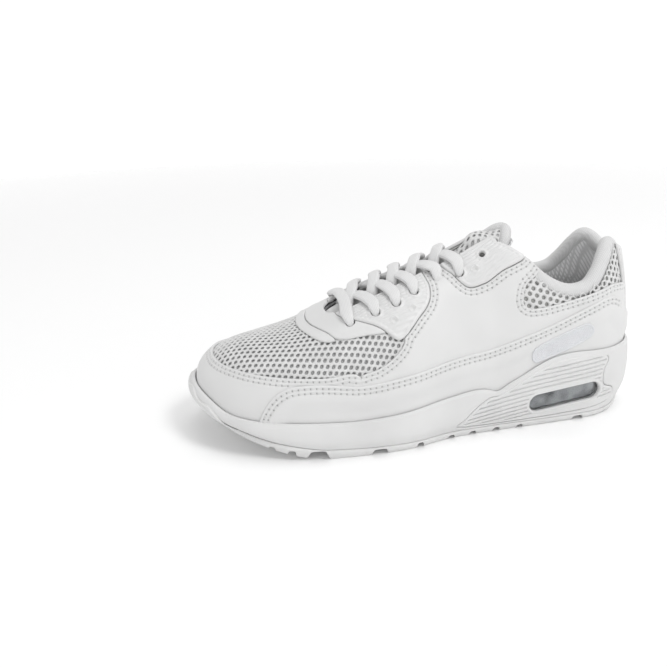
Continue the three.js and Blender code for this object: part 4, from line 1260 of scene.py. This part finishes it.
def vamp_chart(sheet):
    """Unrolls the vamp: runs over the top from the toe and from one side to the other."""
    start_x, start_y = -142, -52
    xs, ys = np.arange(start_x, 4, 2.0), np.arange(start_y, 53, 1.0)
    z = np.full((len(xs), len(ys)), np.nan)
    for i, x in enumerate(xs):
        for j, y in enumerate(ys):
            hit = UPPER_TREE.ray_cast(Vector((x, y, 400)), Vector((0, 0, -1)))[0]
            if hit is not None and hit.z > 22:
                z[i, j] = hit.z
    dz = np.nan_to_num(np.diff(z, axis=1), nan=2.5)
    run = np.concatenate([np.zeros((len(xs), 1)), np.cumsum(np.hypot(1.0, np.clip(dz, -3, 3)), 1)], 1)
    run -= run[:, [-start_y]]
    i = np.clip((sheet.p[:, 0] - start_x) / 2, 0, len(xs) - 1.001)
    j = np.clip(sheet.p[:, 1] - start_y, 0, len(ys) - 1.001)
    a, b = i.astype(int), j.astype(int)
    s, t = i - a, j - b
    over = ((run[a, b] * (1 - t) + run[a, b + 1] * t) * (1 - s)
            + (run[a + 1, b] * (1 - t) + run[a + 1, b + 1] * t) * s)
    return np.stack([sheet.p[:, 0] * 1.05, over], 1)


def build_vamp_mesh():
    f = UPPER.f
    sheet = clipped(UPPER, minimum(f["vamp"], -f["slot"] - 1, -f["mudguard"] + 6, f["hole"] - 0.5))
    add_net("vamp_mesh", "shoe", sheet, vamp_chart(sheet), ((3.46, -1.65), (2.3, 2.65)), 1.16)


def build_collar_mesh():
    f = UPPER.f
    for side, word in SIDES:
        value = minimum(f["collar"] + 4, f["edge_line"] - 4.5, -f["tab"] + 3.5, side_of(f, side))
        sheet = clipped(UPPER, value)
        chart = np.stack([sheet.f["u"] * AROUND, sheet.p[:, 2] * 1.03], 1)
        add_net(f"collar_mesh_{word}", "shoe", sheet, chart, ((4.25, -1.45), (2.7, 2.95)), 1.35,
                heights=(0.0, -1.0), turned=side == MEDIAL)


# ---- upper: hidden and inner layers --------------------------------------------------------

def padding(sheet):
    return smooth_step(0.62, 0.76, sheet.f["u"]) * smooth_step(0.08, 0.26, sheet.f["level"])


def plain_layer(name, value, low, high, paint, slot):
    sheet = clipped(UPPER, value)
    low = low(sheet) if callable(low) else low
    high = high(sheet) if callable(high) else high
    points, triangles = solid_between(sheet, low, high)
    piece = add_piece(name, points, triangles, paint, "shoe", [name], slot)


def build_inner_layers():
    f = UPPER.f
    lining_in = lambda s: -2.6 - 6.2 * padding(s)
    lining_out = lambda s: -1.6 - 6.2 * padding(s)
    open_slot = -f["slot"] - 1
    run = f["u"] * AROUND
    lining_seam = 0.738 * AROUND - run
    # The vamp's lining takes the dark grey paint: painted shade in the mesh's holes.
    plain_layer("vamp_lining", minimum(-14.2 - f["x"], open_slot, f["hole"]), -2.6, -1.6, UNDER_MESH_PAINTED_SHADE,
                "lining_knit")
    for side, word in SIDES:
        half = side_of(f, side)
        plain_layer(f"quarter_lining_{word}",
                    minimum(f["x"] + 13.9, lining_seam, soft_corner(open_slot, f["edge_line"] - 2.2),
                            f["hole"], half), lining_in, lining_out, LINING_WITH_PAINTED_LIGHT, "lining_knit")
        plain_layer(f"quarter_backing_{word}",
                    minimum(f["x"] + 100, lining_seam, -f["vamp"] - 0.3, -f["puff"] - 0.3,
                            soft_corner(-f["slot"], f["edge_line"] - 3.5), -f["collar"] - 4.3,
                            f["hole"], half), -1.3, -0.2, FOAM, "soft_foam")
    plain_layer("toe_puff", f["puff"], -1.3, -0.2, BOARD, "fibre_board")
    plain_layer("heel_counter", minimum(run - 0.742 * AROUND, 72 - f["z"]), -1.9, -0.8, BOARD, "fibre_board")
    plain_layer("collar_lining", minimum(run - 0.741 * AROUND, f["edge_line"] - 7), lining_in, lining_out,
                LINING_WITH_PAINTED_LIGHT, "lining_knit")
    plain_layer("collar_padding",
                minimum(run - 0.645 * AROUND, f["z"] - 60, f["edge_line"] - 8.5, open_slot - 2),
                lambda s: -1.9 - 5.8 * padding(s), -1.35, FOAM, "soft_foam")


# ---- collar roll ------------------------------------------------------------------------------

def level_at_drop(u, drop):
    """The level at which the foot shape is the given distance below the collar's edge."""
    low, high = np.zeros(len(u)), np.full(len(u), 0.97)
    for _ in range(32):
        level = (low + high) / 2
        x, _, z = skin(u, level).T
        over = z > top_line(x) - drop * top_line_stretch(x)
        high = np.where(over, level, high)
        low = np.where(over, low, level)
    return low


def build_collar_roll():
    half = np.concatenate([np.linspace(0.655, 0.76, 22, endpoint=False), np.linspace(0.76, 1, 70)])
    us = np.concatenate([-half, half[::-1][1:]])
    full = smooth_step(0.65, 0.765, np.abs(us))
    drop, inset = 2.4 + 2.4 * full, 1.2 + 3.7 * full
    level = level_at_drop(us, drop)
    centre, normal = relaxed(skin(us, level), 6), relaxed(skin_normal(us, level), 6, as_unit=True)
    up = np.cross(unit(np.gradient(centre, axis=0)), normal)
    up = unit(up * np.sign(up[:, 2:3]))
    plump = 1 + 0.03 * np.sin(np.arange(len(us)) * 0.55) * full
    close = closing_ends(len(us), 5, 0.08)
    points, faces = swept(centre - normal * inset[:, None], normal, up, ring_shape(28, wide_power=0.9),
                          (0.75 + 3.5 * full) * close * plump, (2.2 + 2.8 * full) * close)
    piece = add_piece("collar_binding", points, faces, COLLAR_KNIT, "shoe", ["collar_binding"],
                      "lining_knit")


# ---- tongue --------------------------------------------------------------------------------------

tongue_height = Curve((-66, 62), (-48, 70.5), (-21, 81.5), (18, 96), (33, 101.5), (44, 108), (50, 113),
                      (54, 118))
tongue_half = Curve((-66, 13), (-50, 20), (-20, 23), (5, 22), (20, 20.5), (38, 17), (46, 11), (54, 6.5))
tongue_crown = Curve((-66, 0.012), (-20, 0.015), (20, 0.022), (54, 0.026))


def tongue_point(x, part):
    distance = np.abs(part) * tongue_half(x)
    y = np.where(part < 0, -distance, distance * across_share(x))
    return np.stack([x, y, tongue_height(x) - tongue_crown(x) * distance ** 2], -1)


def tongue_normal(x, part):
    slope = tongue_height(x + 0.5) - tongue_height(x - 0.5)
    lean = 2 * tongue_crown(x) * part * tongue_half(x)
    return unit(np.stack([-slope, lean, np.ones_like(x)], -1))


tongue_puff = Curve((-66, 0), (-62, 0.8), (-58, 5.6), (-50, 7.4), (24, 7), (31, 9.5), (38, 13), (44, 11.5),
                    (50, 5.5), (54, 1.5))
puff_reach = Curve((-66, 12), (-53, 12), (-40, 12), (-21, 12), (-10, 10.8), (5, 9.2), (19, 8.8), (34, 9.5),
                   (44, 12), (54, 9))


def tongue_rise(x, part):
    """How far the padding pushes the tongue's outer face up through the throat."""
    t = np.clip(np.abs(part) * tongue_half(x) / puff_reach(x), 0, 1)
    return tongue_puff(x) * (1 - t * t) ** 1.2


def tongue_sheet(low_x, high_x, wide):
    xs, parts = np.linspace(low_x, high_x, int(high_x - low_x) + 1), np.linspace(-wide, wide, 45)
    x, part = (v.ravel() for v in np.meshgrid(xs, parts, indexing="ij"))
    return Sheet(tongue_point(x, part), tongue_normal(x, part), grid_triangles(len(xs), len(parts)),
                 rim=np.zeros(len(x)), x=x, part=part)


def tongue_layer(name, low_x, high_x, low, high, paint, slot, wide=1.0, roll=1.6, ripple=0.15,
                 puffed=(1, 1)):
    """A layer of the tongue; puffed gives its faces' shares of the rise through the throat."""
    sheet = tongue_sheet(low_x, high_x, wide).measure("edge")
    puff = tongue_rise(sheet.f["x"], sheet.f["part"])
    middle, half = (low + high) / 2, (high - low) / 2
    t = 1 - np.clip(sheet.f["edge"] / roll, 0, 1)
    share = np.sqrt(np.maximum(0, 1 - t * t)) * 0.94 + 0.06
    rise = ripple * waves(sheet.p, 17, 3) * smooth_step(0.5, 4, sheet.f["edge"])
    points, triangles = solid_between(sheet, middle - half * share + puff * puffed[0],
                                      middle + half * share + rise + puff * puffed[1])
    piece = add_piece(name, points, triangles, paint, "tongue", [name], slot, pit=np.zeros(len(points)))


# The roll round the tongue's upper edge: places from above with the roll's radius.
TONGUE_RIM = [(37.5, 6.4, 2.6), (41, 7.8, 4), (46, 8.6, 4.2), (50.5, 7.2, 3.8), (53.6, 3.6, 3.4),
              (54.6, 0, 3.2), (53.6, -4.5, 3.2), (50, -9, 3), (45, -11, 2.6)]


def build_tongue():
    tongue_layer("tongue_foam", -62, 53.6, -6.2, -1.1, TONGUE_CORE, "soft_foam", wide=0.95, roll=2.6,
                 puffed=(0, 0.98))
    tongue_layer("tongue_leather", -66, 22, -1.2, 0.1, TONGUE_LEATHER, "white_leather", roll=0.7, ripple=0.3)
    tongue_layer("tongue_lining", -66, 54, -7.3, -6.1, LINING_WITH_PAINTED_LIGHT, "lining_knit", roll=0.6, ripple=0.1,
                 puffed=(0, 0))
    sheet = tongue_sheet(21.2, 54.2, 0.97)
    sheet.p = sheet.p + sheet.n * tongue_rise(sheet.f["x"], sheet.f["part"])[:, None]
    chart = sheet.p[:, :2] * (1.12, 1.03)
    add_net("tongue_mesh", "tongue", sheet, chart, ((3.5, -1.3), (2.0, 2.9)), 1.1, margin=1.2,
            heights=(0.1, -0.85))
    x, y, size = spline(TONGUE_RIM, 8).T
    part = y / tongue_half(x)
    line, normal = tongue_point(x, part), tongue_normal(x, part)
    line = relaxed(line + normal * (tongue_rise(x, part) - 1.6 + 2.2 * smooth_step(0, 6, y))[:, None], 8)
    normal = relaxed(normal, 8, as_unit=True)
    out = unit(np.cross(unit(np.gradient(line, axis=0)), normal))
    wide = closing_ends(len(line), 6, 0.1) * size
    points, faces = swept(line, out, normal, ring_shape(24), wide, wide * 1.05)
    piece = add_piece("tongue_edge_roll", points, faces, COLLAR_KNIT, "tongue", (), "lining_knit")


# ---- lace ---------------------------------------------------------------------------------------------

slot_half = Curve((-59, 8), (-53, 12), (-40, 14.5), (-21, 14), (-10, 12.5), (5, 10.5), (19, 9.5), (34, 8))
# Half the lace's width and half its thickness.
WIDE, THIN = 3.7, 1.7


def lace_spot(x, distance, side, lift, width=WIDE, thick=THIN):
    """One stop of the lace: its place, the way its flat face looks, and its size."""
    spot, normal = above(x, across(x, distance, side))
    return [*(spot + normal * lift), *normal, width, thick]


def through_eyelet(index, side):
    x, distance = EYELETS[index]
    stops = ((-5, 3.9, WIDE, THIN), (-1.8, 3.3, 3.0, 1.7), (0.1, 0.6, 2.1, 1.8), (-0.6, -2.6, 1.9, 1.6),
             (-3.4, -4.6, 2.4, 1.2))
    return [lace_spot(x, distance + shift, side, *rest) for shift, *rest in stops]


def crossing(index, side, lift):
    """From under one side's edge over the middle to the next eyelet of the other side."""
    from_x, to_x = EYELETS[index][0], EYELETS[index + 1][0]
    first, second, top, last = (from_x + (to_x - from_x) * share for share in (0.02, 0.18, 0.45, 0.8))
    return [lace_spot(first, float(slot_half(first)), side, -3.6, 3.2, 1.1),
            lace_spot(second, float(slot_half(second)) - 5.5, side, 0.6),
            [top, 0, ridge(top) + lift, -0.4, 0, 0.92, WIDE, THIN],
            lace_spot(last, float(slot_half(last)) - 0.5, -side, 4.2)]


def lace_half(side, *lifts):
    """One end of the lace, from the first eyelet to the last, with the crossings' lifts in turn."""
    stops = []
    for i in range(LACED):
        stops += through_eyelet(i, side)
        if i + 1 < LACED:
            stops += crossing(i, side, lifts[i % 2])
        side = -side
    return stops


def build_lace():
    bar_x = EYELETS[0][0]
    bar = [[bar_x, y, ridge(bar_x) + 5.2 - y * y * 0.012, -0.35, 0.02 * y, 0.93, WIDE, THIN]
           for y in (10, 0, -10)]
    line = spline(lace_half(MEDIAL, 1.6, 5.6)[::-1] + bar + lace_half(LATERAL, 5.6, 1.6))
    centre, normal, wide, thin = line[:, :3], unit(line[:, 3:6]), line[:, 6], line[:, 7]
    along = unit(np.gradient(centre, axis=0))
    side = relaxed(unit(np.cross(normal, along)), 8, as_unit=True)
    shape = ring_shape(24, 0.75, 0.85)
    points, faces = swept(centre, side, unit(np.cross(along, side)), shape, wide, thin)
    run = run_along(centre)
    along_field = np.concatenate([np.repeat(run, 24), [0, run[-1]]])
    aside = np.concatenate([np.outer(wide, shape[0]).ravel(), [0, 0]])
    add_piece("lace", points, faces, BRAID, "shoe", ["lace"], "lace_braid", along=along_field, aside=aside)


# ---- sole -------------------------------------------------------------------------------------------------

WINDOW_FRAME = [(12, 8.2), (16.5, 12), (24, 19), (33, 24.5), (39, 25), (47, 29), (56, 33.5), (64, 38),
                (73, 42), (82, 44), (92, 44.7), (108, 44.5), (113, 41), (110, 33), (111, 24),
                (119, 19.5), (119, 12), (108, 8.2)]
WINDOW_ENDS = ((66, 16.8), (102, 20.9))
WINDOW_RADIUS = 5.8
# Places along the sole, half widths and depths of the tread's cross grooves.
TREAD_GROOVES = [(-100, 2.4, 2), (-89, 3, 2.6), (-74, 7, 4.6), (-37.5, 6, 3.2), (-12, 3, 3), (9.5, 3, 2.4),
                 (24, 3, 2.4), (40, 3, 2.4), (55.8, 3, 2.2), (96, 5, 2.6)]
wall_bulge = Curve((0, 0), (0.35, 1), (1, 1))
wall_flare = Curve((0, 5), (0.35, 5), (0.75, 4.7), (1, 3.9))


def wall_out(rise, x):
    return sole_foot(x) + (wall_flare(rise) - sole_foot(x)) * wall_bulge(rise)


def wall_height(rise, x):
    low = ground(x) + outsole_depth(x) + 0.3
    return low + (wall_top(x) - low) * rise


def beside(u, out, height):
    spot, outward = feather(u)
    at = spot + outward * np.broadcast_to(out, u.shape)[..., None]
    return np.concatenate([at, np.broadcast_to(height, u.shape)[..., None]], -1)


def loop_sheet(rings_at, count=560):
    """A closed body of rings that follow the sole's outline. rings_at gives, for places x, each
    ring's distance outwards and its height."""
    half = np.linspace(0, 1, count // 2 + 1)
    us = np.concatenate([-half[::-1], half[1:-1]])
    n = len(us)
    rings = rings_at(feather(us)[0][:, 0])
    points = np.vstack([beside(us, out, height) for out, height in rings])
    k = np.arange(n)
    m = (k + 1) % n
    t = []
    for start in range(0, (len(rings) - 1) * n, n):
        a, b = start + k, start + m
        t += [np.stack([a, b, b + n], 1), np.stack([a, b + n, a + n], 1)]
    top = (len(rings) - 1) * n
    i = np.arange(n // 2)
    far_a, far_b = (n - i) % n, n - i - 1
    for cover in (np.stack([i, far_b, i + 1], 1), np.stack([i, far_a, far_b], 1)):
        t += [whole(cover), whole(cover)[:, ::-1] + top]
    return Sheet(points, np.tile(outward_3d(us), (len(rings), 1)), np.vstack(t), rim=np.zeros(len(points)),
                 x=points[:, 0], z=points[:, 2], ring=np.repeat(np.arange(len(rings)), n).astype(float))


def wall_sheet(us, rises, drop=0.0):
    """A grid on the sole's side wall that faces outwards."""
    uu, rr = (v.ravel() for v in np.meshgrid(us, rises, indexing="ij"))
    x = feather(uu)[0][:, 0]
    points = beside(uu, wall_out(rr, x), wall_height(rr, x) - drop)
    normals = outward_3d(uu)
    t = grid_triangles(len(us), len(rises))
    a, b, c = points[t[0]]
    t = t if np.cross(b - a, c - a) @ normals[t[0, 0]] > 0 else t[:, ::-1]
    return Sheet(points, normals, t, rim=np.zeros(len(x)), x=points[:, 0], z=points[:, 2], run=uu * AROUND,
                 rise=rr)


def pill(x, z, radius):
    """Signed distance inside the window's outline."""
    (ax, az), (bx, bz) = WINDOW_ENDS
    t = np.clip(((x - ax) * (bx - ax) + (z - az) * (bz - az)) / ((bx - ax) ** 2 + (bz - az) ** 2), 0, 1)
    return radius - np.hypot(x - ax - t * (bx - ax), z - az - t * (bz - az))


def prism(name, outline, y0, y1):
    """A tool for cutting: an outline seen from the side, from y0 to y1."""
    n = len(outline)
    points = np.array([(x, y, z) for y in (y0, y1) for x, z in outline])
    mesh = bpy.data.meshes.new(name)
    k = list(range(n))
    faces = [k, [n + i for i in reversed(k)]] + [[(i + 1) % n, i, n + i, n + (i + 1) % n] for i in k]
    mesh.from_pydata([tuple(p) for p in (points + SHIFT) * MM], [], faces)
    made = into_scene(name, mesh)
    bpy.context.view_layer.update()
    return made


def cut_with(piece, tools):
    for tool in tools:
        mod = piece.modifiers.new("cut", "BOOLEAN")
        mod.operation, mod.solver, mod.object = "DIFFERENCE", "MANIFOLD", tool
    graph = bpy.context.evaluated_depsgraph_get()
    mesh = bpy.data.meshes.new_from_object(piece.evaluated_get(graph))
    piece.modifiers.clear()
    old, piece.data = piece.data, mesh
    mesh.name = piece.name
    mesh.set_sharp_from_angle(angle=math.radians(42))
    for tool in tools:
        bpy.data.objects.remove(tool)
    bpy.data.meshes.remove(old)


def pill_outline(radius, steps=24):
    (ax, az), (bx, bz) = WINDOW_ENDS
    tilt = math.atan2(bz - az, bx - ax)
    spots = []
    for x, z, start in ((ax, az, tilt + math.pi / 2), (bx, bz, tilt - math.pi / 2)):
        turns = [start + math.pi * i / steps for i in range(steps + 1)]
        spots += [(x + radius * math.cos(a), z + radius * math.sin(a)) for a in turns]
    return spots


FRAME_SHAPE = rounded(WINDOW_FRAME, 6)


WALL_RISES = [*np.linspace(0, 0.9, 24), 0.93, 0.96, 0.985, 1.0]


def midsole_rings(x):
    """Up the side wall, over its rounded top edge and down into the foot's bed."""
    rings = [(wall_out(r, x) - 1.2 * smooth_step(0.94, 1.0, r) ** 2, wall_height(r, x)) for r in WALL_RISES]
    rings += [(2 + (wall_out(1, x) - 3.2) * (1 - s), wall_top(x) + 0.05 - 0.3 * s) for s in (0.35, 0.7, 1.0)]
    brim = wall_top(x) - 0.25
    return rings + [(2.0, brim + (foot_bed(x) - brim) * s) for s in (0.1, 0.5, 1.0)]


def build_midsole():
    sheet = loop_sheet(midsole_rings)
    on_wall = (sheet.f["ring"] < len(WALL_RISES) - 4) & (sheet.f["x"] > 5)
    sheet.f["frame"] = np.where(on_wall, inside(FRAME_SHAPE, sheet.f["x"], sheet.f["z"]) + 0.3, -20.0)
    for at in (0.0, 0.25):
        sheet.split("frame", at, snap=0.02)
    frame_field = sheet.f["frame"]
    out = -1.9 * smooth_step(-0.01, 0.26, frame_field)
    out += 0.10 * waves(sheet.p, 30, 51) * (frame_field < -1)
    near_frame = (frame_field > -3) & (frame_field < 0)
    out += np.where(near_frame, 0.35 * np.exp(-((frame_field + 1.1) / 0.7) ** 2), 0)
    points = sheet.p + sheet.n * out[:, None]
    piece = add_piece("midsole", points, sheet.t, MIDSOLE_FOAM, "shoe", ["midsole"], "midsole_foam")
    cut_with(piece, [prism("window_cut", pill_outline(6.2), -90, 90)])


def build_window_frames():
    inner = -1.6
    for side, word in SIDES:
        us = np.linspace(0.5, 0.985, 420) * side
        sheet = wall_sheet(us[::-1] if side < 0 else us, np.linspace(0.0, 1.0, 110))
        outer = inside(FRAME_SHAPE, sheet.f["x"], sheet.f["z"])
        sheet = clipped(sheet, minimum(outer, -pill(sheet.f["x"], sheet.f["z"], WINDOW_RADIUS)))
        sheet.f["outer"] = inside(FRAME_SHAPE, sheet.p[:, 0], sheet.p[:, 2])
        sheet.edge_steps(0.1, 0.35, 0.8)
        x, z = sheet.p[:, 0], sheet.p[:, 2]
        window, outer = -pill(x, z, WINDOW_RADIUS), sheet.f["outer"]
        level = z - 16.8 - (x - 66) * 0.114 + np.maximum(66 - x, 0) * 0.03
        groove = 1 - smooth_step(0.25, 0.62, np.abs((level + 60) % 2.75 - 1.375))
        groove *= smooth_step(1.9, 2.4, window) * smooth_step(1.6, 2.2, outer) * (level > -7.4)
        high = inner + round_edge(sheet.f["edge"], 2.0, 0.8) - groove
        high += 0.35 * np.exp(-((window - 1.0) / 0.7) ** 2)
        points, triangles = solid_between(sheet, inner, high)
        name = f"window_frame_{word}"
        add_piece(name, points, triangles, FRAME_PAINT, "shoe", [name], "ribbed_plastic")


def build_air_unit():
    """Behind each window, a clear bulged film over a metallic grey chamber."""
    kinds = (("film", FILM, 5.3, -1.3, 0.9, 0.8), ("chamber", CHAMBER, 5.35, -3.4, 1.1, 6))
    steps = 20
    outline = np.array(pill_outline(1.0, steps))
    centre = np.repeat(WINDOW_ENDS, steps + 1, axis=0)
    for side, word in SIDES:
        spot, outward = feather(np.linspace(0.3, 0.97, 300) * side)
        wall_x, wall_y = (spot + outward * 4.9).T
        for kind, paint, radius, depth, bulge, thickness in kinds:
            rings = []
            for share in (1.0, 0.985, 0.94, 0.85, 0.7, 0.5, 0.3, 0.12, 0.03):
                x, z = (centre + (outline - centre) * radius * share).T
                rise = depth + bulge * math.sqrt(1 - share ** 2)
                rings.append(np.stack([x, np.interp(x, wall_x, wall_y) + side * rise, z], 1))
            back = [ring - np.array([0, side * thickness, 0]) for ring in rings]
            back = back[::-1] if kind == "film" else back[:1]
            points, faces = rings_mesh(back + rings)
            add_piece(f"air_{kind}_{word}", points, faces, paint, "shoe", ["air_unit"], "clear_film",
                      sharp=60)


LIP = 0.8
OUTSOLE_PROFILE = [(-1.5, 0.0), (-0.9, 0.02), (-0.3, 0.18), (0.3, 0.4), (LIP, 0.62), (LIP, 0.8),
                   (LIP - 0.15, 0.95), (LIP - 0.5, 1.0)]


def groove_outline(x, width, depth):
    low, top = float(ground(x)) - 6, float(ground(x)) + depth
    right = [(width, low), (width * 0.45, top - 0.4), (width * 0.25, top)]
    return [(x - width, low)] + [(x + w, z) for w, z in right] + [(x - w, z) for w, z in right[:0:-1]]


def build_outsole():
    sheet = loop_sheet(lambda x: [(sole_foot(x) + out, ground(x) + outsole_depth(x) * share)
                                  for out, share in OUTSOLE_PROFILE])
    piece = add_piece("outsole", sheet.p, sheet.t, TREAD, "shoe", ["outsole"], "tread_rubber")
    tools = [prism("groove", groove_outline(x, width * 1.4, depth * 1.25), -90, 90)
             for x, width, depth in TREAD_GROOVES]
    xs = np.linspace(-112, 122, 60)
    channel = [(x, float(ground(x)) + 1.4) for x in xs] + [(x, -4.0) for x in xs[::-1]]
    tools += [prism("channel", channel, y - 0.9, y + 0.9) for y in (-30, -15, 0, 15, 30)]
    for x in np.arange(-60, 110, 12.0):
        if all(abs(x - at) > width + 3 for at, width, _ in TREAD_GROOVES):
            sipe = [(x - 0.6, -3), (x + 0.6, -3), (x + 0.6, 1.2), (x - 0.6, 1.2)]
            tools.append(prism("sipe", sipe, -36, 36))
    cut_with(piece, tools)


def build_toe_bumper():
    """The outsole's rubber turned up over the front of the sole, with a wavy edge."""
    sheet = wall_sheet(np.linspace(-0.15, 0.15, 150), np.linspace(0.0, 0.96, 46), drop=0.3)
    run = sheet.f["run"]
    wave = 0.82 - 0.12 * np.cos(run / 3.4) - (np.abs(run) / 46) ** 3 * 0.55
    sheet = clipped(sheet, (wave - sheet.f["rise"]) * 15).edge_steps(0.1, 0.35, 0.9)
    points, triangles = solid_between(sheet, 0.05, 0.05 + round_edge(sheet.f["edge"], 1.25, 0.9))
    add_piece("outsole_toe_wrap", points, triangles, TREAD, "shoe", (), "tread_rubber")


insole_top = Curve((-143, 4.6), (-60, 5.2), (20, 6.4), (142.5, 7))


def build_insole():
    profile = [(-6.0, 0.0), (-4.9, 0.12), (-4.5, 0.35), (-4.5, 0.75), (-4.8, 0.93), (-5.6, 1.0), (-9, 1.0),
               (-14, 0.97), (-20, 0.95)]
    low = 1.9
    sheet = loop_sheet(lambda x: [(out, foot_bed(x) + low + (insole_top(x) - low) * share)
                                  for out, share in profile], 360)
    piece = add_piece("insole", sheet.p, sheet.t, INSOLE_CLOTH, "insole", ["insole"], "lining_knit")


# ---- the whole shoe ---------------------------------------------------------------------------------------

place_camera()
build_lace()
build_stage()
build_panels()
build_eyestays()
build_badges()
build_vamp_mesh()
build_collar_mesh()
build_inner_layers()
build_collar_roll()
build_tongue()
build_midsole()
build_window_frames()
build_air_unit()
build_outsole()
build_toe_bumper()
build_insole()
board = frame["nodes"]["strobel_board"]
board.data.materials.clear()
board.data.materials.append(BOARD)
